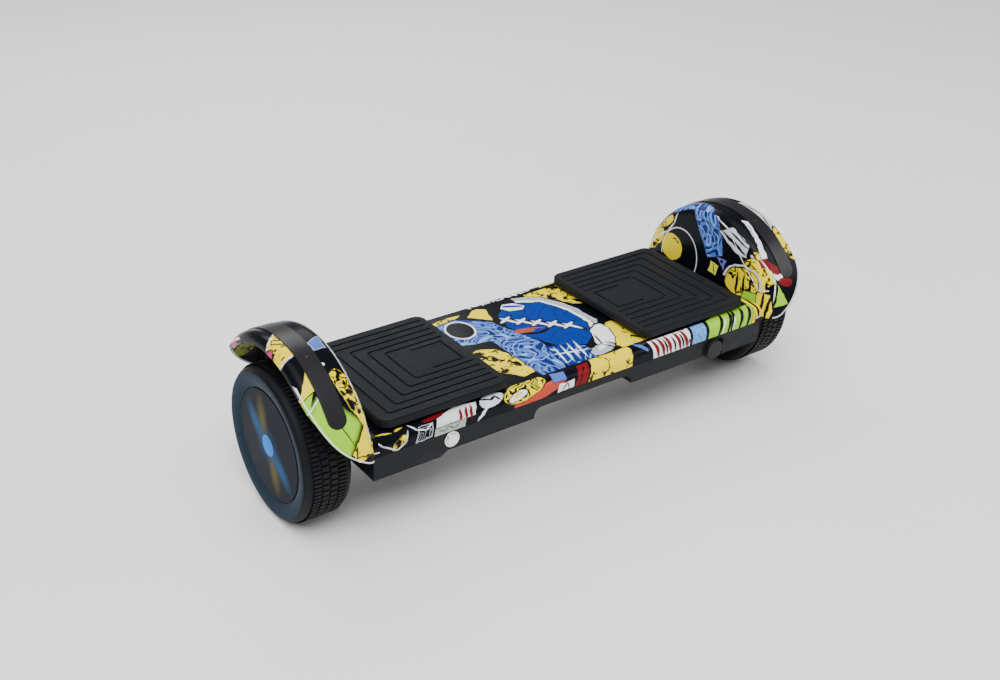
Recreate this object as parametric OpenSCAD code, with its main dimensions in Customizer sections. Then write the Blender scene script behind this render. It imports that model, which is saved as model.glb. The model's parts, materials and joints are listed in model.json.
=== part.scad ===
// Self balancing board: two hub-motor wheels, one rigid deck and two tilting foot pedals.
// Lengths in mm. X runs along the wheel axle, the front faces -Y, +Z is up,
// and the origin lies on the ground under the middle of the deck.

/* [Overall] */
// Length over the outer faces of the two wheels
overall_l = 650; // [610:1:780]
// Depth of the deck from front face to rear face
deck_d = 190; // [172:1:230]
// Height of the deck surface above the wheel axle
deck_rise = 30.5; // [28:0.5:38]
// Height of the seam between the two shells above the wheel axle
seam_rise = 13.5; // [12:0.5:15]
// Depth of the flat belly below the wheel axle
belly_drop = 24.5; // [23:0.5:30]
// Wall of the plastic shells
shell_wall = 2.8; // [2:0.1:3.4]
// Rounding along the upper edges of the deck
deck_round = 10; // [6:0.5:12]

/* [Wheels] */
// Outer diameter of the tyre
tyre_d = 165; // [158:1:200]
// Width of the wheel
tyre_w = 52.6; // [50:0.2:60]
// Rounding of the tyre shoulders
shoulder_r = 8; // [4:0.5:10]
// Gap between the wheel and the end wall of the housing
wheel_gap = 13.4; // [10:0.2:18]
// Diameter of the axle where it is clamped
axle_d = 16; // [14:0.5:18]
// Number of stator teeth in each motor
stator_teeth = 18; // [12:3:24]
// Number of magnets in each motor
magnet_count = 20; // [16:2:28]

/* [Fenders] */
// Gap between the tread and the outside of the fender
fender_rise = 32.5; // [24:0.5:40]
// Wall of the fenders
fender_wall = 3; // [2.4:0.2:4]
// Distance the fender lip stays back from the outer wheel face
lip_back = 5; // [3:0.5:12]
// Radius of the sweep that trims the fender at front and rear
sweep_r = 77; // [60:1:90]
// Width of the bumper strip on each fender
strip_w = 19.5; // [14:0.5:24]
// Angle above horizontal at which each strip starts
strip_start = 37; // [25:1:60]

/* [Pedals] */
// Length of a foot mat along the axle
mat_l = 151.5; // [130:0.5:160]
// Width of a foot mat from front to rear
mat_w = 171; // [150:0.5:174]
// Thickness of a foot mat
mat_t = 8; // [6:0.5:10]
// Gap between deck and mat
mat_gap = 4; // [3.6:0.2:6]
// Corner radius of a foot mat
mat_corner = 12; // [6:0.5:18]
// Diameter of the pedal shaft
pedal_shaft_d = 7; // [6:0.2:8]
// Number of nested grooves in each foot mat
groove_count = 5; // [2:1:5]

/* [Power and charging] */
// Battery pack length
battery_l = 140; // [100:1:144]
// Battery pack width
battery_w = 76; // [60:1:80]
// Diameter of the power button
button_d = 13; // [10:0.5:14]
// Travel of the power button
button_travel = 1.5; // [1:0.1:1.8]
// Diameter of the rubber cap over the charge socket
cap_d = 22; // [20:0.5:24]

/* [Hidden] */
$fn = 96;

// Overlap that carries a cut through a face
eps = 0.1;
// Seam shown between neighbouring shell parts
seam = 0.4;
// Radial clearance of a shaft that turns in a bore
run = 0.05;
// Clearance of a part that sits still in a pocket
fit = 0.25;

// Main planes
tyre_r = tyre_d / 2;
axle_z = tyre_r;
deck_z = axle_z + deck_rise;
seam_z = axle_z + seam_rise;
belly_z = axle_z - belly_drop;
half_d = deck_d / 2;
wheel_out = overall_l / 2;
wheel_in = wheel_out - tyre_w;
house_end = wheel_in - wheel_gap;

// Fender
fender_r = tyre_r + fender_rise;
lip_x = wheel_out - lip_back;
lip_round = 10;
crest_round = 14;
sweep_lift = 3;
crest_x = wheel_in + 3.6;
wall_lean = 10;
wall_top_x = crest_x - crest_round;
wall_foot_x = wall_top_x - wall_lean;
wall_foot_r = 20;
deck_end = wall_foot_x - seam;
strip_x = lip_x - lip_round - 15;
strip_t = 2.4;
strip_seat = 1.5;

// Pedal
mat_end_gap = 9.5;
mat_out = deck_end - mat_end_gap;
mat_x = mat_out - mat_l / 2;
mat_in = mat_out - mat_l;
mat_z = deck_z + mat_gap;
flange_in = 5;
flange_t = 1.4;
tub_in = 12.5;
tub_gap = 2.4;
tub_l = mat_l - 2 * tub_in;
tub_w = mat_w - 2 * tub_in;
shaft_r = pedal_shaft_d / 2;
shaft_z = axle_z + 19;
tub_z = shaft_z + shaft_r + 1;
lug_t = 7;
block_t = 7;
block_in = 3;
block_half = 10;
block_top = shaft_z + shaft_r + 2;
groove_end_in = 12.5;
groove_side_in = 11;
groove_end_pitch = 14.6;
groove_side_pitch = 10.6;
groove_border = 8;
groove_w = 2.8;
groove_depth = 1.6;

// Lower housing, seen from the front
outer_drop = 12.5;
mid_drop = 7.5;
centre_rise = 4;
outer_in = 182;
outer_step = 8;
centre_half = 66;
centre_round = 10;
belly_half = 52;
belly_flare = 20;
belly_flare_z = axle_z - 2.5;
belly_end_in = 9;

// Lugs of the pedal plate, just inside the two pivot blocks
lug_in = mat_in + block_in + block_t + 2;
lug_out = mat_out - block_in - block_t - 2 - lug_t;

// Sensor board under each pedal
sensor_l = 60;
sensor_w = 34;
sensor_y0 = 14;
sensor_z = shaft_z + 1;
sensor_post_ys = [sensor_y0 + 5, sensor_y0 + sensor_w - 5];

// Battery in the middle bay
battery_z = belly_z + 4;
battery_h = 40;
strap_x = 40;
strap_w = 18;
strap_t = 1.5;

// Trim bars
bar_half = 75;
bar_depth = 15;
bar_t = 1.6;

// Frame
rail_y = 52;
rail_w = 12;
rail_z0 = axle_z - 10.5;
rail_z1 = axle_z + 5.5;
clamp_x = house_end - 22;
clamp_l = 20;
clamp_half = 26;
clamp_top = axle_z + 13;
clamp_split = 0.4;
clamp_bolt_y = 18;
lug_z = clamp_top + 0.6;
cross_x = mat_in + 3;
cross_l = 12;
frame_drop = 18.5;

// Control board in the left bay
board_l = 96;
board_w = 64;
board_t = 1.6;
board_x = -mat_x;
board_z = belly_z + 9;
board_post_xs = [board_x - board_l / 2 + 6, board_x + board_l / 2 - 6];

// Motor, all x values measured inwards from the outer wheel face
axle_r = axle_d / 2;
stator_x0 = wheel_in + 9.6;
stator_l = 20;
stator_r = 51.5;
stator_seat_r = axle_r + 2;
slot_depth = 17;
tooth_w = 4.4;
tooth_tip = 2.5;
coil_gap = 0.4;
magnet_t = 3.6;
air_gap = 0.8;
magnet_r0 = stator_r + air_gap;
magnet_r1 = magnet_r0 + magnet_t;
rim_r = 66;
web_x0 = wheel_out - 17;
web_t = 5;
nose_r = axle_r - 2;
outer_bearing_r = nose_r + 6;
inner_bearing_r = axle_r + 7;
bearing_w = 7;
cover_x0 = wheel_in + 1;
cover_t = 4.4;
cover_bolt_r = 61;
cover_bolts = 6;
lip_r = tyre_r - 6.5;
hub_lens_r = 59.5;
hub_dish = 4.6;
hub_cover_t = 1.6;
led_r = 54;

// Screws that join the shells
shell_screw_y = half_d - 11;
shell_screw_xs = [mat_in - 5, deck_end - 8];
shell_screw_z = axle_z + 4;

// Power button and charge socket on the front face
button_x = -169;
button_z = axle_z + 4.5;
button_back = 8 - half_d;
bezel_proud = 1.2;
socket_x = 186;
socket_z = axle_z - 0.5;
socket_r = 8;
socket_bore_r = 6.5;
cap_t = 4;
cap_stand = 1.1;
cap_pin_r = 1;
cap_eye_half = 4.4;
cap_hinge_x = socket_x + cap_d / 2 + 2;
cap_hinge_y = -half_d - 2.8;

// ---------------------------------------------------------------- helpers

// Runs a flat outline, drawn in Y and Z, along X
module along_x(x0, x1) {
    translate([x0, 0, 0]) rotate([90, 0, 90]) linear_extrude(x1 - x0) children();
}

// Runs a flat outline, drawn in X and Z, along Y
module along_y(y0, y1) {
    translate([0, y1, 0]) rotate([90, 0, 0]) linear_extrude(y1 - y0) children();
}

// Turns an outline, drawn as radius and x, about the wheel axle
module about_axle() {
    translate([0, 0, axle_z]) rotate([0, 90, 0]) rotate_extrude() children();
}

// Ring about the wheel axle
module axle_ring(r0, r1, x0, x1) {
    about_axle() translate([r0, x0]) square([r1 - r0, x1 - x0]);
}

// Rod along X
module rod_x(x0, x1, r, y, z) {
    translate([x0, y, z]) rotate([0, 90, 0]) cylinder(h = x1 - x0, r = r);
}

// Rod along Y
module rod_y(y0, y1, r, x, z) {
    translate([x, y1, z]) rotate([90, 0, 0]) cylinder(h = y1 - y0, r = r);
}

module box(x0, x1, y0, y1, z0, z1) {
    translate([x0, y0, z0]) cube([x1 - x0, y1 - y0, z1 - z0]);
}

module on_left() {
    mirror([1, 0, 0]) children();
}

module both_sides() {
    children();
    mirror([1, 0, 0]) children();
}

// Outline with its two upper corners rounded
module arch(half_w, z0, z1, r) {
    translate([-half_w, z0]) square([2 * half_w, z1 - r - z0]);
    translate([r - half_w, z0]) square([2 * (half_w - r), z1 - z0]);
    intersection() {
        translate([-half_w, z0]) square([2 * half_w, z1 - z0]);
        for (s = [-1, 1]) translate([s * (half_w - r), z1 - r]) circle(r);
    }
}

// Flat slab with rounded corners, centred on x and y = 0
module slab(x, l, w, r, z0, z1) {
    translate([x, 0, z0]) linear_extrude(z1 - z0) {
        square([l - 2 * r, w], center = true);
        square([l, w - 2 * r], center = true);
        for (sx = [-1, 1], sy = [-1, 1]) {
            translate([sx * (l / 2 - r), sy * (w / 2 - r)]) circle(r);
        }
    }
}

// ---------------------------------------------------------------- shells

// Deck section, moved inwards by the inset
module deck_section(inset, z0) {
    arch(half_d - inset, z0, deck_z - inset, deck_round - inset);
}

// Zone of the front trim bar: ends are rounded where it meets the front face
module bar_zone(grow) {
    bar_h = deck_z - seam_z;
    bar_r = bar_h / 2;
    along_y(-half_d - eps, -half_d + bar_depth + grow) {
        translate([-bar_half + bar_r, seam_z - grow]) square([2 * (bar_half - bar_r), bar_h + eps + grow]);
        for (s = [-1, 1]) translate([s * (bar_half - bar_r), seam_z + bar_r]) circle(bar_r + grow);
    }
}

module shell_boss(x, y) {
    translate([x, y, seam_z]) cylinder(h = deck_z - shell_wall - seam_z + eps, r = 4);
}

module top_shell() color("gold") {
    difference() {
        union() {
            difference() {
                along_x(-deck_end, deck_end) deck_section(0, seam_z);
                difference() {
                    along_x(-deck_end + shell_wall, deck_end - shell_wall)
                        deck_section(shell_wall, seam_z - eps);
                    for (s = [0, 1]) mirror([0, s, 0]) intersection() {
                        bar_zone(3);
                        along_x(-deck_end, deck_end) difference() {
                            deck_section(0, seam_z - eps);
                            deck_section(shell_wall + bar_t + seam, seam_z - 2 * eps);
                        }
                    }
                }
            }
            for (x = shell_screw_xs, sx = [-1, 1], sy = [-1, 1]) shell_boss(sx * x, sy * shell_screw_y);
        }
        both_sides() {
            slab(mat_x, tub_l + 2 * tub_gap, tub_w + 2 * tub_gap, mat_corner - 4, seam_z, deck_z + eps);
            for (x = shell_screw_xs, s = [-1, 1]) {
                translate([x, s * shell_screw_y, seam_z - eps]) cylinder(h = 12, r = 1.6);
            }
        }
        // The end walls open over the clamped axles
        both_sides() rod_x(deck_end - shell_wall - eps, deck_end + eps, wall_foot_r, 0, axle_z);
        for (s = [0, 1]) mirror([0, s, 0]) intersection() {
            bar_zone(seam);
            along_x(-deck_end, deck_end) difference() {
                deck_section(-1, seam_z - 1);
                deck_section(bar_t + seam, seam_z - 2);
            }
        }
    }
}

module trim_bar() color("khaki") {
    intersection() {
        bar_zone(0);
        along_x(-deck_end, deck_end) difference() {
            deck_section(0, seam_z);
            deck_section(bar_t, seam_z - eps);
        }
    }
}

// Front outline of the lower housing, moved inwards by the inset
module housing_outline(inset) {
    z_top = seam_z - seam;
    z_out = axle_z - outer_drop + inset;
    z_mid = axle_z - mid_drop + inset;
    z_mid_top = axle_z + centre_rise + inset;
    x_end = house_end - inset;
    mid_in = outer_in - outer_step;
    arch_half = centre_half + inset;
    difference() {
        polygon([
            [-x_end, z_top], [-x_end, z_out], [-outer_in - inset, z_out], [-mid_in - inset, z_mid],
            [mid_in + inset, z_mid], [outer_in + inset, z_out], [x_end, z_out], [x_end, z_top]
        ]);
        translate([-arch_half, z_mid - 20]) square([2 * arch_half, z_mid_top - z_mid + 20 - centre_round]);
        translate([centre_round - arch_half, z_mid]) {
            square([2 * (arch_half - centre_round), z_mid_top - z_mid]);
        }
        for (s = [-1, 1]) {
            translate([s * (arch_half - centre_round), z_mid_top - centre_round]) circle(centre_round);
        }
    }
}

// Section of the belly pan, moved inwards by the inset
module belly_section(inset) {
    z_top = seam_z - seam - (inset > 0 ? 0 : shell_wall);
    y_top = belly_half + belly_flare - inset;
    polygon([
        [-y_top, z_top], [-y_top, belly_flare_z + inset], [-belly_half + inset / 2, belly_z + inset],
        [belly_half - inset / 2, belly_z + inset], [y_top, belly_flare_z + inset], [y_top, z_top]
    ]);
}

// Finger notch in the lower edge beside the charge socket
module notch(grow) {
    notch_x = outer_in - outer_step;
    along_y(-half_d - eps, -half_d + 6 + grow) polygon([
        [notch_x - 5 - grow, axle_z - outer_drop - eps], [notch_x - grow / 2, axle_z + 1.5 + grow],
        [notch_x + grow / 2, axle_z + 1.5 + grow], [notch_x + 5 + grow, axle_z - outer_drop - eps]
    ]);
}

module bottom_shell() color("dimgray") {
    belly_end = house_end - belly_end_in;
    difference() {
        union() {
            difference() {
                union() {
                    along_y(-half_d, half_d) housing_outline(0);
                    along_x(-belly_end, belly_end) belly_section(0);
                }
                difference() {
                    union() {
                        along_y(-half_d + shell_wall, half_d - shell_wall) {
                            intersection() {
                                housing_outline(shell_wall);
                                translate([-house_end, 0]) square([2 * house_end, seam_z - seam - eps]);
                            }
                        }
                        along_x(-belly_end + shell_wall, belly_end - shell_wall) belly_section(shell_wall);
                    }
                    notch(shell_wall);
                }
                box(-house_end + shell_wall, house_end - shell_wall, shell_wall - half_d, half_d - shell_wall,
                    seam_z - seam - 1, seam_z);
            }
            for (x = shell_screw_xs, sx = [-1, 1], sy = [-1, 1]) {
                translate([sx * x, sy * shell_screw_y, axle_z - mid_drop]) {
                    cylinder(h = seam_z - seam - axle_z + mid_drop, r = 5);
                }
            }
            board_posts();
            cap_lugs();
        }
        for (x = shell_screw_xs, sx = [-1, 1], sy = [-1, 1]) translate([sx * x, sy * shell_screw_y, 0]) {
            cylinder(h = seam_z + 1, r = 2.2);
            cylinder(h = shell_screw_z, r = 4);
        }
        notch(0);
        both_sides() rod_x(house_end - shell_wall - eps, house_end + eps, axle_r + 3, 0, axle_z);
        rod_y(-half_d - eps, 8 - half_d, button_d / 2 + 1.3 + fit, button_x, button_z);
        rod_y(-half_d - eps, 8 - half_d, socket_r + fit, socket_x, socket_z);
        cap_pin_hole();
    }
}

// Posts that carry the control board
module board_posts() {
    for (x = board_post_xs, y = [-1, 1] * (board_w / 2 - 5)) {
        translate([x, y, belly_z + eps]) cylinder(h = board_z - belly_z - eps, r = 3);
    }
}

// Two lugs that hold the hinge pin of the charge cap
module cap_lugs() {
    for (s = [-1, 1]) {
        z = socket_z + s * (cap_eye_half + 2.2);
        box(cap_hinge_x - 2, cap_hinge_x + 2, cap_hinge_y - 2, 1 - half_d, z - 2, z + 2);
    }
}

module cap_pin_hole() {
    translate([cap_hinge_x, cap_hinge_y, socket_z - 9]) cylinder(h = 18, r = cap_pin_r);
}

// ---------------------------------------------------------------- fenders

// Solid of revolution outline of a fender, as radius and x, moved inwards by the inset
module fender_outline(inset) {
    r_out = fender_r - inset;
    r_crest = fender_r - crest_round;
    r_lip = fender_r - lip_round;
    polygon([
        [wall_foot_r, wall_foot_x + inset], [r_crest, wall_top_x + inset],
        [r_crest, lip_x - inset], [wall_foot_r, lip_x - inset]
    ]);
    translate([r_crest, crest_x]) square([r_out - r_crest, lip_x - lip_round - crest_x]);
    translate([r_crest - eps, lip_x - lip_round - eps]) {
        square([r_lip - r_crest + eps, lip_round + eps - inset]);
    }
    translate([r_crest, crest_x]) circle(crest_round - inset);
    translate([r_lip, lip_x - lip_round]) circle(lip_round - inset);
}

// Side view that the fender is trimmed to: a wide sweep at front and rear
module fender_sweep() {
    sweep_z = seam_z + sweep_lift + sweep_r;
    translate([lip_x - sweep_r, sweep_z]) circle(sweep_r);
    x0 = wall_foot_x - 10;
    translate([x0, sweep_z]) square([lip_x - x0, fender_r]);
    translate([x0, sweep_z - sweep_r]) square([lip_x - sweep_r - x0, 2 * sweep_r]);
}

// Zone of the bumper strip, round at both ends
module strip_zone(grow) {
    x0 = strip_x - strip_w / 2 - grow;
    x1 = strip_x + strip_w / 2 + grow;
    reach = 2 * fender_r;
    y = reach * cos(strip_start);
    z = reach * sin(strip_start);
    along_x(x0, x1) translate([0, axle_z]) {
        polygon([[0, 0], [-y, z], [-y, reach * 2], [y, reach * 2], [y, z]]);
    }
    for (a = [strip_start, 180 - strip_start]) {
        translate([strip_x, 0, axle_z]) rotate([90 - a, 0, 0]) {
            cylinder(h = fender_r + 20, r = strip_w / 2 + grow);
        }
    }
}

module fender() color("yellowgreen") {
    difference() {
        union() {
            intersection() {
                about_axle() difference() {
                    fender_outline(0);
                    fender_outline(fender_wall);
                    translate([0, crest_x]) square([fender_r - lip_round, lip_x + 20 - crest_x]);
                }
                union() {
                    along_y(-2 * fender_r, 2 * fender_r) fender_sweep();
                    along_x(wall_foot_x - 1, crest_x) deck_section(0, seam_z);
                }
            }
            fender_root();
        }
        intersection() {
            strip_zone(fit);
            axle_ring(fender_r - strip_seat, fender_r + 5, strip_x - strip_w, strip_x + strip_w);
        }
    }
}

// Skin that carries the deck section on from the deck to the leaning wall
module fender_root() {
    intersection() {
        along_x(wall_foot_x, wall_top_x + fender_wall) difference() {
            deck_section(0, seam_z);
            deck_section(fender_wall, seam_z - 1);
        }
        about_axle() polygon([
            [wall_foot_r, wall_foot_x - 1], [wall_foot_r, wall_foot_x + fender_wall],
            [fender_r, wall_top_x + fender_wall + 2], [fender_r, wall_foot_x - 1]
        ]);
    }
}

module fender_strip() color("black") {
    r = fender_r - strip_seat;
    intersection() {
        strip_zone(0);
        axle_ring(r, r + strip_t, strip_x - strip_w, strip_x + strip_w);
    }
}

// ---------------------------------------------------------------- frame and running gear

module frame() color("silver") {
    difference() {
        union() {
            for (s = [-1, 1]) {
                box(-clamp_x, clamp_x, s * rail_y - rail_w / 2, s * rail_y + rail_w / 2, rail_z0, rail_z1);
            }
            both_sides() {
                // Saddle block under the axle
                box(clamp_x - clamp_l / 2, clamp_x + clamp_l / 2, -rail_y - rail_w / 2, rail_y + rail_w / 2,
                    rail_z0, axle_z);
                box(clamp_x - clamp_l / 2, clamp_x + clamp_l / 2, -clamp_half, clamp_half,
                    axle_z - frame_drop, axle_z);
                // Cross member beside the battery
                box(cross_x - cross_l / 2, cross_x + cross_l / 2, -rail_y, rail_y, rail_z0, rail_z0 + 8);
            }
        }
        both_sides() {
            rod_x(clamp_x - clamp_l, clamp_x + clamp_l, axle_r, 0, axle_z);
            for (s = [-1, 1]) translate([clamp_x, s * clamp_bolt_y, axle_z - 14]) cylinder(h = 20, r = 2.5);
        }
    }
}

// Caps that hold both axles down on the frame
module axle_clamps() color("gainsboro") {
    z0 = axle_z + clamp_split;
    both_sides() difference() {
        box(clamp_x - clamp_l / 2, clamp_x + clamp_l / 2, -clamp_half, clamp_half, z0, clamp_top);
        rod_x(clamp_x - clamp_l, clamp_x + clamp_l, axle_r, 0, axle_z);
        for (s = [-1, 1]) translate([clamp_x, s * clamp_bolt_y, axle_z]) cylinder(h = 30, r = 2.8);
    }
}

// Socket-head screw standing on z, pointing down
module screw(r, head_r, head_h, length) {
    translate([0, 0, -length]) cylinder(h = length, r = r);
    difference() {
        cylinder(h = head_h, r = head_r);
        translate([0, 0, head_h / 2]) cylinder(h = head_h, r = head_r / 2, $fn = 6);
    }
}

module clamp_screws() color("darkgray") {
    both_sides() for (s = [-1, 1]) {
        translate([clamp_x, s * clamp_bolt_y, clamp_top]) screw(2.5, 4.4, 3, clamp_top - axle_z + 13);
    }
}

module shell_screws() color("darkgray") {
    for (x = shell_screw_xs, sx = [-1, 1], sy = [-1, 1]) {
        translate([sx * x, sy * shell_screw_y, shell_screw_z]) mirror([0, 0, 1]) {
            screw(1.6, 3.4, 2.4, seam_z + 10 - shell_screw_z);
        }
    }
}

// Blocks that carry both ends of each pedal shaft
module pivot_blocks() color("gainsboro") {
    x0 = mat_in + block_in;
    x1 = mat_out - block_in;
    both_sides() difference() {
        union() {
            box(x0, x0 + block_t, -block_half, block_half, rail_z0 + 8, block_top);
            box(x1 - block_t, x1, -block_half, block_half, clamp_top, block_top);
        }
        rod_x(mat_in, mat_out, shaft_r + run, 0, shaft_z);
    }
}

// Rubber springs between frame rails and pedal
module pedal_buffers() color("dimgray") {
    for (x = [mat_in + 30, mat_out - 30], s = [-1, 1]) {
        translate([x, s * rail_y, rail_z1]) difference() {
            cylinder(h = tub_z - rail_z1, r = 5.5);
            translate([0, 0, -eps]) cylinder(h = 6, r = 2);
        }
    }
}

module axle() color("silver") {
    difference() {
        union() {
            rod_x(clamp_x - clamp_l / 2 - 4, stator_x0, axle_r, 0, axle_z);
            rod_x(stator_x0, stator_x0 + stator_l, stator_seat_r, 0, axle_z);
            rod_x(stator_x0 + stator_l, web_x0 + web_t + 1, nose_r, 0, axle_z);
        }
        // Way for the motor leads, from the free end up to the stator
        rod_x(clamp_x - clamp_l, stator_x0 - 6, 3, 0, axle_z);
    }
}

module axle_seal() color("black") {
    axle_ring(axle_r, axle_r + 3, house_end - shell_wall, house_end);
    axle_ring(axle_r, axle_r + 4.5, house_end, house_end + 2);
}

// Wedge between two straight teeth, with a narrow mouth
module stator_slot() {
    half_pitch = 180 / stator_teeth;
    r0 = stator_r - slot_depth;
    r1 = stator_r - tooth_tip;
    w0 = r0 * tan(half_pitch) - tooth_w / 2 / cos(half_pitch);
    w1 = r1 * tan(half_pitch) - tooth_w / 2 / cos(half_pitch);
    polygon([[r0, -w0], [r1, -w1], [r1, w1], [r0, w0]]);
    translate([r1 - 1, -1]) square([tooth_tip + 3, 2]);
}

module stator() color("slategray") {
    translate([stator_x0, 0, axle_z]) rotate([0, 90, 0]) linear_extrude(stator_l) difference() {
        circle(stator_r);
        circle(stator_seat_r);
        for (i = [0 : stator_teeth - 1]) rotate(i * 360 / stator_teeth) stator_slot();
    }
}

// One copper coil around each tooth
module windings() color("peru") {
    coil_r0 = stator_r - slot_depth + 1;
    coil_r1 = stator_r - tooth_tip - 1;
    inner = tooth_w / 2 + fit / 2;
    outer = coil_r0 * tan(180 / stator_teeth) - coil_gap;
    x0 = stator_x0;
    x1 = stator_x0 + stator_l;
    step = 360 / stator_teeth;
    for (i = [0 : stator_teeth - 1]) translate([0, 0, axle_z]) rotate([(i + 0.5) * step, 0, 0]) {
        difference() {
            box(x0 - 3, x1 + 3, -outer, outer, coil_r0, coil_r1);
            box(x0, x1, -inner, inner, coil_r0 - eps, coil_r1 + eps);
        }
    }
}

// ---------------------------------------------------------------- wheel

module tyre() color([0.09, 0.09, 0.1]) {
    about_axle() difference() {
        union() {
            translate([rim_r, wheel_in]) square([tyre_r - rim_r - shoulder_r, tyre_w]);
            translate([rim_r, wheel_in + shoulder_r]) square([tyre_r - rim_r, tyre_w - 2 * shoulder_r]);
            for (x = [wheel_in + shoulder_r, wheel_out - shoulder_r]) {
                translate([tyre_r - shoulder_r, x]) circle(shoulder_r);
            }
        }
        translate([rim_r - eps, wheel_out - 4.4]) square([lip_r + 0.4 - rim_r + eps, 5]);
        for (x = [wheel_in + tyre_w / 3, wheel_out - tyre_w / 3]) {
            translate([tyre_r - 2, x - 1]) square([3, 2]);
        }
    }
}

// Motor housing: drum, web and outer bearing seat
module rim() color([0.25, 0.26, 0.28]) {
    difference() {
        union() {
            axle_ring(magnet_r1, rim_r, cover_x0 + cover_t, web_x0 + web_t);
            axle_ring(outer_bearing_r, rim_r, web_x0, web_x0 + web_t);
            axle_ring(rim_r - 4, rim_r, web_x0, wheel_out - hub_dish - hub_cover_t);
            axle_ring(outer_bearing_r, outer_bearing_r + 4, web_x0 - 2, web_x0 + web_t);
        }
        bolt_circle(cover_x0 - 1, cover_x0 + cover_t + 9, 2);
    }
}

module bolt_circle(x0, x1, r) {
    for (i = [0 : cover_bolts - 1]) translate([0, 0, axle_z]) rotate([i * 360 / cover_bolts, 0, 0]) {
        rod_x(x0, x1, r, 0, cover_bolt_r);
    }
}

module magnets() color("darkslategray") {
    gap = 2;
    difference() {
        axle_ring(magnet_r0, magnet_r1, stator_x0, stator_x0 + stator_l);
        for (i = [0 : magnet_count - 1]) translate([0, 0, axle_z]) rotate([i * 360 / magnet_count, 0, 0]) {
            box(stator_x0 - 1, stator_x0 + stator_l + 1, -gap / 2, gap / 2, magnet_r0 - 2, magnet_r1 + 1);
        }
    }
}

module inner_cover() color([0.3, 0.31, 0.33]) {
    difference() {
        union() {
            axle_ring(inner_bearing_r, rim_r - 0.4, cover_x0, cover_x0 + cover_t);
            axle_ring(inner_bearing_r, inner_bearing_r + 3.5, cover_x0, cover_x0 + bearing_w);
        }
        bolt_circle(cover_x0 - 1, cover_x0 + cover_t + 1, 2.2);
    }
}

// Ring bearing with a shallow groove between its races
module bearing(r0, r1, x0, w) {
    mid = (r0 + r1) / 2;
    about_axle() difference() {
        translate([r0, x0]) square([r1 - r0, w]);
        for (x = [x0 - eps, x0 + w - 0.6]) translate([mid - 1, x]) square([2, 0.6 + eps]);
    }
}

module bearings() color("lightsteelblue") {
    bearing(axle_r + run, inner_bearing_r, cover_x0, bearing_w);
    bearing(nose_r + run, outer_bearing_r, web_x0 - 2, bearing_w);
}

module cover_screws() color("gray") {
    for (i = [0 : cover_bolts - 1]) translate([0, 0, axle_z]) rotate([i * 360 / cover_bolts, 0, 0]) {
        translate([cover_x0, 0, cover_bolt_r]) rotate([0, -90, 0]) screw(2, 3.4, 1.6, cover_t + 8);
    }
}

// Round board that lights the outer face
module led_board() color("seagreen") {
    x0 = web_x0 + web_t + 2;
    axle_ring(nose_r + 4, led_r, x0, x0 + 1.4);
    axle_ring(outer_bearing_r + 6, outer_bearing_r + 9, x0 - 2, x0);
    for (i = [0 : 3]) translate([0, 0, axle_z]) rotate([i * 90, 0, 0]) {
        for (r = [18 : 8 : led_r - 6]) box(x0 + 1.4, x0 + 2.4, -1.5, 1.5, r, r + 3);
    }
}

// Dished ring that covers the motor face
module hub_cover() color([0.28, 0.33, 0.4]) {
    x_face = wheel_out;
    x_seat = wheel_out - hub_dish;
    about_axle() {
        difference() {
            polygon([
                [hub_lens_r - 3, x_seat - hub_cover_t], [rim_r, x_seat - hub_cover_t], [rim_r, x_face - 4],
                [lip_r, x_face - 4], [lip_r, x_face - 1], [lip_r - 1, x_face], [lip_r - 4, x_face],
                [hub_lens_r + 1, x_seat + 1.2], [hub_lens_r + 1, x_seat], [hub_lens_r - 3, x_seat]
            ]);
            translate([hub_lens_r + 2, x_seat - 2]) square([1, 0.6]);
        }
        translate([hub_lens_r - 3, web_x0 + web_t]) square([3, x_seat - 1.5 - web_x0 - web_t]);
    }
}

// Smoked lens with a raised rim and a round centre
module hub_lens() color([0.12, 0.16, 0.22, 0.9]) {
    x_seat = wheel_out - hub_dish;
    about_axle() {
        translate([0, x_seat]) square([hub_lens_r, 1.8]);
        polygon([[0, x_seat + 1.7], [hub_lens_r - 2, x_seat + 1.7], [20, x_seat + 2.6], [0, x_seat + 2.9]]);
    }
    rod_x(x_seat + 1, x_seat + 3.8, 7.5, 0, axle_z);
}

// ---------------------------------------------------------------- pedals

// Outline of one nested groove, open towards the middle of the board
module mat_groove_area(i, inset) {
    x1 = mat_out - groove_end_in - i * groove_end_pitch - inset;
    x0 = mat_in - 20;
    w = mat_w - 2 * (groove_side_in + i * groove_side_pitch + inset);
    slab((x0 + x1) / 2, x1 - x0, w, 6 - inset, mat_z + mat_t - groove_depth - inset, mat_z + mat_t + 1);
}

// One groove: two long runs and a turn near the outer end of the mat
module mat_groove(i) {
    intersection() {
        difference() {
            mat_groove_area(i, 0);
            mat_groove_area(i, groove_w);
        }
        box(mat_in + groove_border, mat_out, -mat_w, mat_w, mat_z, mat_z + mat_t + 2);
    }
}

// Short pair of grooves in the middle field, joined near the board's middle
module mat_centre_groove() {
    w = mat_w - 2 * (groove_side_in + groove_count * groove_side_pitch);
    x0 = mat_in + groove_border + 6;
    z0 = mat_z + mat_t - groove_depth;
    for (s = [-1, 1]) box(x0, x0 + 38, s * w / 2 - groove_w / 2, s * w / 2 + groove_w / 2, z0, z0 + 3);
    box(x0, x0 + groove_w, -w / 2, w / 2, z0, z0 + 3);
}

module foot_mat() color([0.2, 0.21, 0.24]) {
    difference() {
        union() {
            slab(mat_x, mat_l, mat_w, mat_corner, mat_z, mat_z + mat_t - 1.2);
            slab(mat_x, mat_l - 2.4, mat_w - 2.4, mat_corner - 1.2, mat_z, mat_z + mat_t);
        }
        for (i = [0 : groove_count - 1]) mat_groove(i);
        mat_centre_groove();
    }
}

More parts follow.
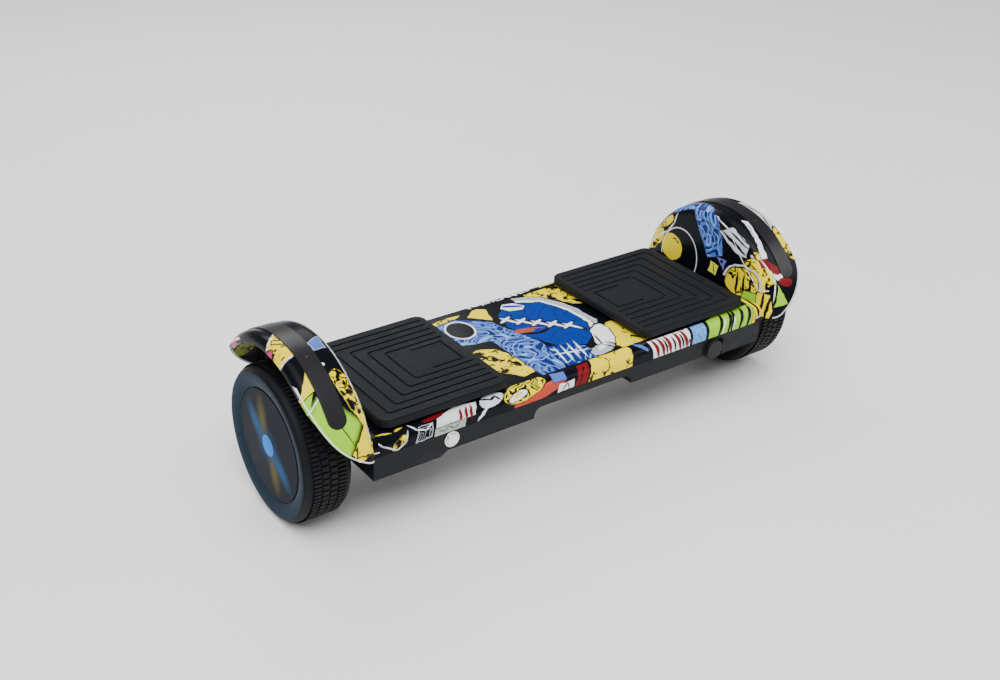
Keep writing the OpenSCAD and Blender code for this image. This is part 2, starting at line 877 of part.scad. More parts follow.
// Tray under the mat: flange, tub in the deck opening and two lugs on the shaft
module pedal_plate() color([0.16, 0.16, 0.18]) {
    flange_z = mat_z - flange_t;
    difference() {
        union() {
            slab(mat_x, mat_l - 2 * flange_in, mat_w - 2 * flange_in, mat_corner - 2, flange_z, mat_z);
            slab(mat_x, tub_l, tub_w, mat_corner - 5, tub_z, mat_z);
            for (x = [lug_in, lug_out]) box(x, x + lug_t, -8, 8, lug_z, tub_z + eps);
            for (sx = [-1, 1], y = sensor_post_ys) translate([mat_x + sx * (sensor_l / 2 - 5), y, 0]) {
                translate([0, 0, sensor_z + board_t]) cylinder(h = tub_z - sensor_z, r = 2.5);
            }
        }
        slab(mat_x, tub_l - 6, tub_w - 6, mat_corner - 6, tub_z + 2.5, flange_z - 1);
        rod_x(lug_in - 1, lug_in + lug_t + 1, shaft_r, 0, shaft_z);
        rod_x(lug_out - 1, lug_out + lug_t + 1, shaft_r, 0, shaft_z);
    }
}

module pedal_shaft() color("silver") {
    rod_x(mat_in + block_in, mat_out - block_in, shaft_r, 0, shaft_z);
}

module sensor_board() color("darkgreen") {
    half_l = sensor_l / 2;
    box(mat_x - half_l, mat_x + half_l, sensor_y0, sensor_y0 + sensor_w, sensor_z, sensor_z + board_t);
    box(mat_x - 4, mat_x + 4, sensor_y0 + 12, sensor_y0 + 20, sensor_z - 1.2, sensor_z);
    box(mat_x - 22, mat_x - 12, sensor_y0 + 3, sensor_y0 + 9, sensor_z - 4, sensor_z);
}

// ---------------------------------------------------------------- electrics

module battery_pack() color("royalblue") {
    slab(0, battery_l, battery_w, 6, battery_z, battery_z + battery_h);
    box(-battery_l / 2 - 3, -battery_l / 2 + 1, -8, 8, battery_z + 12, battery_z + 22);
}

module battery_straps() color("black") {
    outer = rail_y - rail_w / 2;
    inner = battery_w / 2 + fit;
    z1 = battery_z + battery_h;
    for (s = [-1, 1]) difference() {
        box(s * strap_x - strap_w / 2, s * strap_x + strap_w / 2, -outer, outer, rail_z0, z1 + strap_t);
        box(s * strap_x - strap_w, s * strap_x + strap_w, -inner, inner, rail_z0 - 1, z1);
    }
}

module control_board() color("darkgreen") {
    box(board_x - board_l / 2, board_x + board_l / 2, -board_w / 2, board_w / 2, board_z, board_z + board_t);
    for (i = [0 : 2]) {
        translate([board_x - 30 + i * 14, 20, board_z + board_t]) cylinder(h = 14, r = 5);
    }
    for (i = [0 : 3]) {
        box(board_x + 10 + i * 9, board_x + 17 + i * 9, 18, 26, board_z + board_t, board_z + board_t + 7);
    }
    box(board_x - 8, board_x + 4, -2, 10, board_z + board_t, board_z + board_t + 1.4);
}

// Finned bar over the power transistors
module heat_sink() color("silver") {
    z0 = board_z + board_t;
    difference() {
        box(board_x - 40, board_x + 40, -28, -8, z0, z0 + 12);
        for (i = [0 : 5]) box(board_x - 41, board_x + 41, -26.5 + i * 3.2, -25 + i * 3.2, z0 + 4, z0 + 13);
    }
}

module power_switch() color("black") {
    y0 = button_back + button_travel + fit;
    box(button_x - 7, button_x + 7, y0, y0 + 14, button_z - 7, button_z + 6);
    for (x = [button_x - 4, button_x + 4]) {
        box(x - 0.5, x + 0.5, y0 + 14, y0 + 19, button_z - 2, button_z + 2);
    }
}

module button_bezel() color("silver") {
    r = button_d / 2;
    difference() {
        union() {
            rod_y(-half_d - bezel_proud, -half_d, r + 2.2, button_x, button_z);
            rod_y(-half_d, -half_d + 6, r + 1.3, button_x, button_z);
        }
        rod_y(-half_d - 2, -half_d + 7, r + fit, button_x, button_z);
    }
}

module power_button() color("gainsboro") {
    r = button_d / 2;
    y0 = -half_d - bezel_proud - button_travel;
    rod_y(y0, button_back, r - 0.8, button_x, button_z);
    rod_y(y0 + 0.6, button_back, r, button_x, button_z);
}

module charge_socket() color([0.1, 0.1, 0.11]) {
    difference() {
        union() {
            rod_y(-half_d - 0.8, -half_d, socket_r + 1.6, socket_x, socket_z);
            rod_y(-half_d, -half_d + 18, socket_r, socket_x, socket_z);
        }
        rod_y(-half_d - 1, -half_d + 13, socket_bore_r, socket_x, socket_z);
    }
    for (a = [90, 210, 330]) {
        rod_y(-half_d + 9, -half_d + 14, 0.9, socket_x + 3.6 * cos(a), socket_z + 3.6 * sin(a));
    }
}

module charge_cap() color([0.08, 0.08, 0.09]) {
    y0 = -half_d - cap_stand;
    difference() {
        union() {
            rod_y(y0 - cap_t, y0, cap_d / 2, socket_x, socket_z);
            rod_y(y0 - eps, y0 + 2, socket_bore_r - 0.6, socket_x, socket_z);
            box(socket_x + cap_d / 2 - 3, cap_hinge_x, cap_hinge_y - 1.6, cap_hinge_y + 1.2,
                socket_z - cap_eye_half, socket_z + cap_eye_half);
            translate([cap_hinge_x, cap_hinge_y, socket_z - cap_eye_half]) {
                cylinder(h = 2 * cap_eye_half, r = 2.2);
            }
        }
        translate([cap_hinge_x, cap_hinge_y, socket_z - 6]) cylinder(h = 12, r = cap_pin_r + run);
    }
}

module charge_cap_pin() color("silver") {
    translate([cap_hinge_x, cap_hinge_y, socket_z - 8.4]) cylinder(h = 16.8, r = cap_pin_r);
}

top_shell();
bottom_shell();
on_left() fender();  // left_fender
fender();  // right_fender
on_left() fender_strip();  // left_fender_strip
fender_strip();  // right_fender_strip
trim_bar();  // front_trim_bar
mirror([0, 1, 0]) trim_bar();  // rear_trim_bar
shell_screws();
frame();
axle_clamps();
clamp_screws();
pivot_blocks();
on_left() pedal_buffers();  // left_pedal_buffers
pedal_buffers();  // right_pedal_buffers
battery_pack();
battery_straps();
control_board();
heat_sink();
power_switch();
button_bezel();
power_button();
charge_socket();
charge_cap();
charge_cap_pin();
on_left() axle();  // left_axle
on_left() axle_seal();  // left_axle_seal
on_left() stator();  // left_stator
on_left() windings();  // left_windings
axle();  // right_axle
axle_seal();  // right_axle_seal
stator();  // right_stator
windings();  // right_windings
on_left() tyre();  // left_tyre
on_left() rim();  // left_rim
on_left() magnets();  // left_magnets
on_left() inner_cover();  // left_inner_cover
on_left() bearings();  // left_bearings
on_left() cover_screws();  // left_cover_screws
on_left() led_board();  // left_led_board
on_left() hub_cover();  // left_hub_cover
on_left() hub_lens();  // left_hub_lens
tyre();  // right_tyre
rim();  // right_rim
magnets();  // right_magnets
inner_cover();  // right_inner_cover
bearings();  // right_bearings
cover_screws();  // right_cover_screws
led_board();  // right_led_board
hub_cover();  // right_hub_cover
hub_lens();  // right_hub_lens
on_left() foot_mat();  // left_foot_mat
on_left() pedal_plate();  // left_pedal_plate
on_left() pedal_shaft();  // left_pedal_shaft
on_left() sensor_board();  // left_sensor_board
foot_mat();  // right_foot_mat
pedal_plate();  // right_pedal_plate
pedal_shaft();  // right_pedal_shaft
sensor_board();  // right_sensor_board
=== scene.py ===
import json
from math import atan2, cos, degrees, pi, radians, sin

import bpy
from mathutils import Matrix, Vector

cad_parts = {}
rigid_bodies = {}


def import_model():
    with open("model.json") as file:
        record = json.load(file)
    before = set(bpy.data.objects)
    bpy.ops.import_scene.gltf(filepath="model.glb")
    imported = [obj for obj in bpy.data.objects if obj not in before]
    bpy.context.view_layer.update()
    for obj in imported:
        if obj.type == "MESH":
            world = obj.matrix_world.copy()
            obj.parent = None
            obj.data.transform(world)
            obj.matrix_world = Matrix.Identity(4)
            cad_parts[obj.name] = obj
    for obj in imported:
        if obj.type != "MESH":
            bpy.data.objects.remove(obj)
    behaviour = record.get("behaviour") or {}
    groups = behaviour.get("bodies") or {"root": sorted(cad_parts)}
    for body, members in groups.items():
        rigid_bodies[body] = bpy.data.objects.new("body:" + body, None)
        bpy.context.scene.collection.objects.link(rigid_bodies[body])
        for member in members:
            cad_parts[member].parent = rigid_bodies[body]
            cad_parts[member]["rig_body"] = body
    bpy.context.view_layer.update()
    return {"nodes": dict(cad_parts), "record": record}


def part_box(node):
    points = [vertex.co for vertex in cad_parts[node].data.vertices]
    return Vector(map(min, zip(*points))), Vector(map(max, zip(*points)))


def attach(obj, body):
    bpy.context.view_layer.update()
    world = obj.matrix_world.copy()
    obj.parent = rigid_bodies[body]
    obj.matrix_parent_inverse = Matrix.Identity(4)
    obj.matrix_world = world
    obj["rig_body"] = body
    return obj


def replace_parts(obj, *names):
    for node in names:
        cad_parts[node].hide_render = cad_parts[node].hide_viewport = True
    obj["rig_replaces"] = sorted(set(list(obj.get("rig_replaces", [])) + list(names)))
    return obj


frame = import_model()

bl_info = {
    "name": "Balance Board Finish",
    "version": (1, 0, 0),
    "blender": (4, 5, 0),
    "location": "View3D > Sidebar > Board",
    "description": "Finishes the packed balance board: printed shells, mats, treaded tyres and lit hubs",
    "category": "Object",
}

MM = 0.001

# Places that every piece works from, read off the frame
TYRE_LOW, TYRE_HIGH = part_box("right_tyre")
TYRE_RADIUS = (TYRE_HIGH[2] - TYRE_LOW[2]) / 2
AXLE_Z = (TYRE_HIGH[2] + TYRE_LOW[2]) / 2
DECK_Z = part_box("top_shell")[1][2]
DECK_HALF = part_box("top_shell")[1][1]
FENDER_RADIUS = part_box("right_fender")[1][2] - AXLE_Z
# How far the front and rear bands of artwork reach in from the deck's edges
BAR_DEPTH = 0.015
# How far behind the axle the left fender's printed rear tip begins
TIP_START = 0.055
# The tyre: its bore, its rounded shoulder, and the gap that keeps the tread inside the design's outline
RIM_RADIUS = 0.066
SHOULDER = 0.008
TYRE_SKIN = 0.0001
BLOCK_EDGE = 0.0004
# How far a tread block and a shoulder rib reach down into the carcass
BLOCK_ROOT = 0.0012
RIB_ROOT = 0.0014
# Height of the grain on every finish, and the angle in degrees past which an edge is softened
GRAIN_HEIGHT = 0.0006
BEVEL_ANGLE = 35
# The sweep that trims the fenders at front and rear, in millimetres
SWEEP_RADIUS = 77.0
SWEEP_DROP = 21.5
SIDES = ("left", "right")
SIGN = {"left": -1, "right": 1}


# ---------------------------------------------------------------- sizes and colours that can be set

class BoardSizes(bpy.types.PropertyGroup):
    shell_edge: bpy.props.FloatProperty(
        name="Shell edge", description="Softening of the shells' moulded edges",
        default=0.0008, min=0.0001, max=0.003, unit="LENGTH")
    mat_edge: bpy.props.FloatProperty(
        name="Mat edge", description="Softening of the mats' ribs and rims",
        default=0.0005, min=0.0001, max=0.002, unit="LENGTH")
    metal_edge: bpy.props.FloatProperty(
        name="Metal edge", description="Chamfer on turned and cast pieces",
        default=0.0003, min=0.0001, max=0.001, unit="LENGTH")
    tread_depth: bpy.props.FloatProperty(
        name="Tread depth", description="Depth of the grooves between tread blocks",
        default=0.0019, min=0.0005, max=0.004, unit="LENGTH")
    tread_rows: bpy.props.IntProperty(
        name="Tread blocks", description="Number of blocks round each tyre",
        default=72, min=24, max=120)


class BoardColours(bpy.types.PropertyGroup):
    shell_black: bpy.props.FloatVectorProperty(
        name="Shell black", description="Ground colour of the printed shells",
        default=(0.003, 0.0036, 0.0062), size=3, min=0, max=1, subtype="COLOR")
    yellow: bpy.props.FloatVectorProperty(
        name="Print yellow", description="Yellow of the printed shapes",
        default=(0.9, 0.7, 0.004), size=3, min=0, max=1, subtype="COLOR")
    green: bpy.props.FloatVectorProperty(
        name="Print green", description="Lime green of the printed shapes",
        default=(0.3, 0.62, 0.02), size=3, min=0, max=1, subtype="COLOR")
    royal: bpy.props.FloatVectorProperty(
        name="Print royal blue", description="Deep blue of the printed shapes",
        default=(0.0025, 0.03, 0.26), size=3, min=0, max=1, subtype="COLOR")
    sky: bpy.props.FloatVectorProperty(
        name="Print pale blue", description="Pale violet blue of the printed shapes",
        default=(0.07, 0.15, 0.5), size=3, min=0, max=1, subtype="COLOR")
    maroon: bpy.props.FloatVectorProperty(
        name="Print maroon", description="Dark red of the printed shapes",
        default=(0.17, 0.006, 0.01), size=3, min=0, max=1, subtype="COLOR")
    white: bpy.props.FloatVectorProperty(
        name="Print white", description="White of the printed lines",
        default=(0.85, 0.87, 0.9), size=3, min=0, max=1, subtype="COLOR")
    rubber: bpy.props.FloatVectorProperty(
        name="Mat rubber", description="Dark grey of the foot mats",
        default=(0.0062, 0.0074, 0.0098), size=3, min=0, max=1, subtype="COLOR")
    hub: bpy.props.FloatVectorProperty(
        name="Hub slate", description="Slate blue of the hub covers",
        default=(0.011, 0.024, 0.042), size=3, min=0, max=1, subtype="COLOR")


def sizes():
    return bpy.context.scene.board_sizes


def colours():
    return bpy.context.scene.board_colours


# ---------------------------------------------------------------- node helpers

def link(tree, source, target):
    tree.links.new(source, target)


def put(tree, socket, value):
    """Joins another node's output to a socket, or sets the socket's own value."""
    if isinstance(value, bpy.types.NodeSocket):
        tree.links.new(value, socket)
    else:
        socket.default_value = value


def math(tree, operation, *values, clamp=False):
    node = tree.nodes.new("ShaderNodeMath")
    node.operation = operation
    node.use_clamp = clamp
    for socket, value in zip(node.inputs, values):
        put(tree, socket, value)
    return node.outputs[0]


def mix_colour(tree, factor, a, b):
    node = tree.nodes.new("ShaderNodeMix")
    node.data_type = "RGBA"
    put(tree, node.inputs[0], factor)
    put(tree, node.inputs[6], a)
    put(tree, node.inputs[7], b)
    return node.outputs[2]


def noise(tree, vector, scale, detail=2.0, roughness=0.5, distortion=0.0):
    node = tree.nodes.new("ShaderNodeTexNoise")
    put(tree, node.inputs["Vector"], vector)
    node.inputs["Scale"].default_value = scale
    node.inputs["Detail"].default_value = detail
    node.inputs["Roughness"].default_value = roughness
    node.inputs["Distortion"].default_value = distortion
    return node


def step(tree, value, low, high):
    """0 below low and 1 above high, or the other way round if low is the larger."""
    node = tree.nodes.new("ShaderNodeMapRange")
    put(tree, node.inputs["Value"], value)
    node.inputs["From Min"].default_value = low
    node.inputs["From Max"].default_value = high
    return node.outputs[0]


def opaque(colour):
    return (*colour[:3], 1.0)


def new_group(name, inputs, outputs):
    """An empty shader node group with its sockets, and its input and output nodes."""
    group = bpy.data.node_groups.new(name, "ShaderNodeTree")
    for kind, label, value in inputs:
        socket = group.interface.new_socket(label, in_out="INPUT", socket_type=kind)
        if value is not None:
            socket.default_value = value
    for kind, label in outputs:
        group.interface.new_socket(label, in_out="OUTPUT", socket_type=kind)
    return group, group.nodes.new("NodeGroupInput"), group.nodes.new("NodeGroupOutput")


def place_group(tree, group, **values):
    node = tree.nodes.new("ShaderNodeGroup")
    node.node_tree = group
    for label, value in values.items():
        put(tree, node.inputs[label.replace("_", " ")], value)
    return node


def surface_group():
    """Fine grain, broad dirt and handling marks that most finishes share."""
    name = "Board surface"
    if name in bpy.data.node_groups:
        return bpy.data.node_groups[name]
    group, start, end = new_group(
        name,
        [("NodeSocketColor", "Colour", (0.5, 0.5, 0.5, 1)), ("NodeSocketFloat", "Grain scale", 900.0),
         ("NodeSocketFloat", "Grain", 0.3), ("NodeSocketFloat", "Roughness", 0.4),
         ("NodeSocketFloat", "Roughness change", 0.1), ("NodeSocketFloat", "Shade change", 0.1)],
        [("NodeSocketColor", "Colour"), ("NodeSocketFloat", "Roughness"), ("NodeSocketFloat", "Height")])
    place = group.nodes.new("ShaderNodeTexCoord").outputs["Object"]
    grain = group.nodes.new("ShaderNodeTexNoise")
    link(group, place, grain.inputs["Vector"])
    link(group, start.outputs["Grain scale"], grain.inputs["Scale"])
    grain.inputs["Detail"].default_value = 3.0
    broad = noise(group, place, 14.0, 4.0, 0.55).outputs[0]
    fine = noise(group, place, 160.0, 3.0, 0.6).outputs[0]
    marks = math(group, "ADD", math(group, "MULTIPLY", broad, 0.65), math(group, "MULTIPLY", fine, 0.35))
    centred = math(group, "SUBTRACT", marks, 0.5)

    def change(label):
        spread = math(group, "MULTIPLY", start.outputs[label], 4.0)
        return math(group, "MULTIPLY", centred, spread)

    rough = math(group, "ADD", start.outputs["Roughness"], change("Roughness change"), clamp=True)
    shade = math(group, "ADD", 1.0, change("Shade change"))
    tint = group.nodes.new("ShaderNodeVectorMath")
    tint.operation = "SCALE"
    link(group, start.outputs["Colour"], tint.inputs[0])
    link(group, shade, tint.inputs["Scale"])
    height = math(group, "MULTIPLY", grain.outputs[0], start.outputs["Grain"])
    link(group, tint.outputs[0], end.inputs["Colour"])
    link(group, rough, end.inputs["Roughness"])
    link(group, height, end.inputs["Height"])
    return group


def wear_group():
    """Mask of edges that handling has polished or chipped."""
    name = "Board edge wear"
    if name in bpy.data.node_groups:
        return bpy.data.node_groups[name]
    group, start, end = new_group(
        name, [("NodeSocketFloat", "Width", 0.5), ("NodeSocketFloat", "Breakup", 60.0)],
        [("NodeSocketFloat", "Mask")])
    edge = group.nodes.new("ShaderNodeNewGeometry").outputs["Pointiness"]
    place = group.nodes.new("ShaderNodeTexCoord").outputs["Object"]
    patchy = group.nodes.new("ShaderNodeTexNoise")
    link(group, place, patchy.inputs["Vector"])
    link(group, start.outputs["Breakup"], patchy.inputs["Scale"])
    sharp = step(group, edge, 0.58, 0.7)
    mask = math(group, "MULTIPLY", sharp, step(group, patchy.outputs[0], 0.45, 0.62))
    link(group, math(group, "MULTIPLY", mask, start.outputs["Width"], clamp=True), end.inputs["Mask"])
    return group


class Finish:
    """A material under construction, with the shared surface group already in place."""

    def __init__(self, name, colour, *, roughness, grain=0.3, grain_scale=900.0, bump=0.05, shade=0.1,
                 rough_change=0.1, metallic=0.0, specular=0.5, coat=0.0, coat_roughness=0.05, wear=None,
                 sheen=0.0):
        self.material = bpy.data.materials.new(name)
        self.material.use_nodes = True
        self.tree = self.material.node_tree
        self.shader = self.tree.nodes["Principled BSDF"]
        self.shader.inputs["Metallic"].default_value = metallic
        self.shader.inputs["Specular IOR Level"].default_value = specular
        self.shader.inputs["Coat Weight"].default_value = coat
        self.shader.inputs["Coat Roughness"].default_value = coat_roughness
        self.shader.inputs["Sheen Weight"].default_value = sheen
        self.surface = place_group(
            self.tree, surface_group(), Colour=opaque(colour), Grain_scale=grain_scale, Grain=grain,
            Roughness=roughness, Roughness_change=rough_change, Shade_change=shade)
        result = self.surface.outputs["Colour"]
        if wear is not None:
            mask = place_group(self.tree, wear_group(), Width=wear[1]).outputs[0]
            result = mix_colour(self.tree, mask, result, opaque(wear[0]))
        link(self.tree, result, self.shader.inputs["Base Color"])
        link(self.tree, self.surface.outputs["Roughness"], self.shader.inputs["Roughness"])
        self.bump = self.tree.nodes.new("ShaderNodeBump")
        self.bump.inputs["Strength"].default_value = bump
        self.bump.inputs["Distance"].default_value = GRAIN_HEIGHT
        link(self.tree, self.surface.outputs["Height"], self.bump.inputs["Height"])
        link(self.tree, self.bump.outputs[0], self.shader.inputs["Normal"])


# ---------------------------------------------------------------- printed shapes

class Print:
    """Flat printed artwork: shapes laid one over another on a pair of coordinates in millimetres."""

    def __init__(self, tree, place, ground):
        self.tree = tree
        self.place = place
        self.colour = opaque(ground)

    def wobble(self, amount, scale):
        """The same coordinates with a hand-drawn unsteadiness."""
        drift = noise(self.tree, self.place, scale, 1.0).outputs["Color"]
        node = self.tree.nodes.new("ShaderNodeVectorMath")
        node.operation = "MULTIPLY_ADD"
        link(self.tree, drift, node.inputs[0])
        node.inputs[1].default_value = (2 * amount, 2 * amount, 0)
        link(self.tree, self.place, node.inputs[2])
        shift = self.tree.nodes.new("ShaderNodeVectorMath")
        shift.operation = "SUBTRACT"
        link(self.tree, node.outputs[0], shift.inputs[0])
        shift.inputs[1].default_value = (amount, amount, 0)
        return shift.outputs[0]

    def moved(self, centre, turn, size, place=None):
        node = self.tree.nodes.new("ShaderNodeMapping")
        node.vector_type = "TEXTURE"
        link(self.tree, place or self.place, node.inputs["Vector"])
        node.inputs["Location"].default_value = (*centre, 0)
        node.inputs["Rotation"].default_value = (0, 0, radians(turn))
        node.inputs["Scale"].default_value = (*size, 1)
        return node.outputs[0]

    def length(self, vector):
        node = self.tree.nodes.new("ShaderNodeVectorMath")
        node.operation = "LENGTH"
        link(self.tree, vector, node.inputs[0])
        return node.outputs["Value"]

    def ellipse(self, centre, size, turn=0, place=None):
        """Distance outside an ellipse, in millimetres along its shorter half axis."""
        away = self.length(self.moved(centre, turn, size, place))
        return math(self.tree, "MULTIPLY_ADD", away, min(size), -min(size))

    def polygon(self, points, place=None):
        """Distance outside a convex outline whose points run anticlockwise."""
        worst = None
        for (x0, y0), (x1, y1) in zip(points, points[1:] + points[:1]):
            run = Vector((y1 - y0, x0 - x1, 0)).normalized()
            node = self.tree.nodes.new("ShaderNodeVectorMath")
            node.operation = "DOT_PRODUCT"
            link(self.tree, place or self.place, node.inputs[0])
            node.inputs[1].default_value = run
            away = math(self.tree, "SUBTRACT", node.outputs["Value"], run.dot(Vector((x0, y0, 0))))
            worst = away if worst is None else math(self.tree, "MAXIMUM", worst, away)
        return worst

    def strokes(self, points, width, place=None):
        """Distance outside a run of pointed brush strokes from each point to the next."""
        nearest = None
        for (x0, y0), (x1, y1) in zip(points, points[1:]):
            centre = ((x0 + x1) / 2, (y0 + y1) / 2)
            half = max(0.1, ((x1 - x0) ** 2 + (y1 - y0) ** 2) ** 0.5 / 2 + width / 3)
            away = self.ellipse(centre, (half, width / 2), degrees(atan2(y1 - y0, x1 - x0)), place)
            nearest = away if nearest is None else math(self.tree, "MINIMUM", nearest, away)
        return nearest

    def union(self, *shapes):
        nearest = shapes[0]
        for shape in shapes[1:]:
            nearest = math(self.tree, "MINIMUM", nearest, shape)
        return nearest

    def both(self, a, b):
        return math(self.tree, "MAXIMUM", a, b)

    def outline(self, shape, width):
        """The band just inside a shape's border."""
        return self.both(shape, math(self.tree, "MULTIPLY_ADD", shape, -1.0, -width))

    def lay(self, shape, colour, soft=0.35):
        """Covers what lies under a shape with a colour."""
        mask = step(self.tree, shape, soft, -soft)
        self.colour = mix_colour(self.tree, mask, self.colour,
                                 colour if isinstance(colour, bpy.types.NodeSocket) else opaque(colour))

    def lined(self, shape, colour, line, width):
        """A shape with a line round its edge."""
        self.lay(shape, line)
        self.lay(math(self.tree, "ADD", shape, width), colour)

    def cracks(self, scale, width, shift=0.0):
        """Distance from a web of crack lines, broken up so that they stop and start."""
        cells = self.tree.nodes.new("ShaderNodeTexVoronoi")
        cells.feature = "DISTANCE_TO_EDGE"
        cells.inputs["Scale"].default_value = scale
        link(self.tree, self.wobble(5, 0.11), cells.inputs["Vector"])
        gaps = noise(self.tree, self.moved((shift, shift), 20, (1, 1)), 0.06, 1.0).outputs[0]
        kept = math(self.tree, "MULTIPLY", math(self.tree, "SUBTRACT", 0.52, gaps), 40.0)
        line = math(self.tree, "SUBTRACT",
                    math(self.tree, "MULTIPLY", cells.outputs["Distance"], 1.0 / scale), width)
        return self.both(line, kept)

    def scribble(self, scale, width, shift=0.0):
        """Distance from looping contour lines, as of a doodle."""
        field = noise(self.tree, self.moved((shift, -shift), 0, (1, 1)), scale, 0.0).outputs[0]
        rings = math(self.tree, "PINGPONG", math(self.tree, "MULTIPLY", field, 7.0), 0.5)
        return math(self.tree, "SUBTRACT", math(self.tree, "MULTIPLY", rings, 0.28 / scale), width)

    def blots(self, scale, cover, shift=0.0):
        """Distance outside scattered ink blots."""
        field = noise(self.tree, self.moved((shift, shift), 35, (1, 1)), scale, 2.0, 0.55, 0.6).outputs[0]
        return math(self.tree, "MULTIPLY", math(self.tree, "SUBTRACT", 1.0 - cover, field), 1.2 / scale)


def combine(tree, x, y):
    node = tree.nodes.new("ShaderNodeCombineXYZ")
    link(tree, x, node.inputs[0])
    link(tree, y, node.inputs[1])
    return node.outputs[0]


def object_axes(tree):
    """Object coordinates as three values in millimetres."""
    place = tree.nodes.new("ShaderNodeTexCoord").outputs["Object"]
    scale = tree.nodes.new("ShaderNodeVectorMath")
    scale.operation = "SCALE"
    link(tree, place, scale.inputs[0])
    scale.inputs["Scale"].default_value = 1000.0
    split = tree.nodes.new("ShaderNodeSeparateXYZ")
    link(tree, scale.outputs[0], split.inputs[0])
    return split.outputs


def deck_place(tree):
    """X, and the way round the deck section: Y on top, running on down both faces."""
    x, y, z = object_axes(tree)
    drop = math(tree, "SUBTRACT", DECK_Z / MM, z)
    side = math(tree, "SIGN", y)
    return combine(tree, x, math(tree, "MULTIPLY_ADD", drop, side, y))


def crown_place(tree, sign):
    """Distance from the board's middle, and degrees up from the front horizontal, both as millimetres."""
    x, y, z = object_axes(tree)
    up = math(tree, "SUBTRACT", z, AXLE_Z / MM)
    turn = math(tree, "ARCTAN2", up, math(tree, "MULTIPLY", y, -1.0))
    along = math(tree, "MULTIPLY", turn, FENDER_RADIUS / MM)
    return combine(tree, math(tree, "MULTIPLY", x, float(sign)), along)


def wall_place(tree):
    """Y and Z, for the inner walls of the fenders."""
    _, y, z = object_axes(tree)
    return combine(tree, y, z)


# ---------------------------------------------------------------- the printed artwork

GREY = (0.42, 0.44, 0.47)
INK = (0.004, 0.004, 0.006)
RUST = (0.3, 0.09, 0.03)
PINK = (0.55, 0.04, 0.16)
OLIVE = (0.3, 0.33, 0.03)
CORAL = (0.5, 0.06, 0.035)
NAVY = (0.006, 0.02, 0.13)
PALE = (0.22, 0.42, 0.82)


def cracked(art, shape, colour, shift=0.0, scale=0.055, ink=0.37):
    """A patch of colour with crack lines and ink blots in it; ink says how much the blots cover."""
    art.lay(shape, INK)
    inner = math(art.tree, "ADD", shape, 1.1)
    art.lay(inner, colour)
    art.lay(art.both(inner, art.cracks(scale, 0.75, shift)), INK)
    art.lay(art.both(inner, art.blots(0.09, ink, shift)), INK)


def striped(art, points, ground, stripe, xs, low, high, lean, width):
    """A patch with slanting brush stripes across it."""
    patch = art.polygon(points)
    art.lined(patch, ground, INK, 1.0)
    for x in xs:
        art.lay(art.both(patch, art.strokes([(x, low), (x + lean, high)], width)), stripe)


def doodled(art, shape, ground, line, shift=0.0, width=0.75, scale=0.045):
    """A patch filled with looping lines."""
    art.lined(shape, ground, INK, 1.0)
    art.lay(art.both(math(art.tree, "ADD", shape, 2.0), art.scribble(scale, width, shift)), line)


def denim(art, shape, colour, shift):
    """A patch of pale blue with dark looping folds and thin light lines."""
    art.lined(shape, colour, INK, 1.2)
    inner = math(art.tree, "ADD", shape, 2.0)
    art.lay(art.both(inner, art.scribble(0.04, 1.5, shift)), NAVY)
    art.lay(art.both(inner, art.scribble(0.04, 0.6, shift + 9)), PALE)


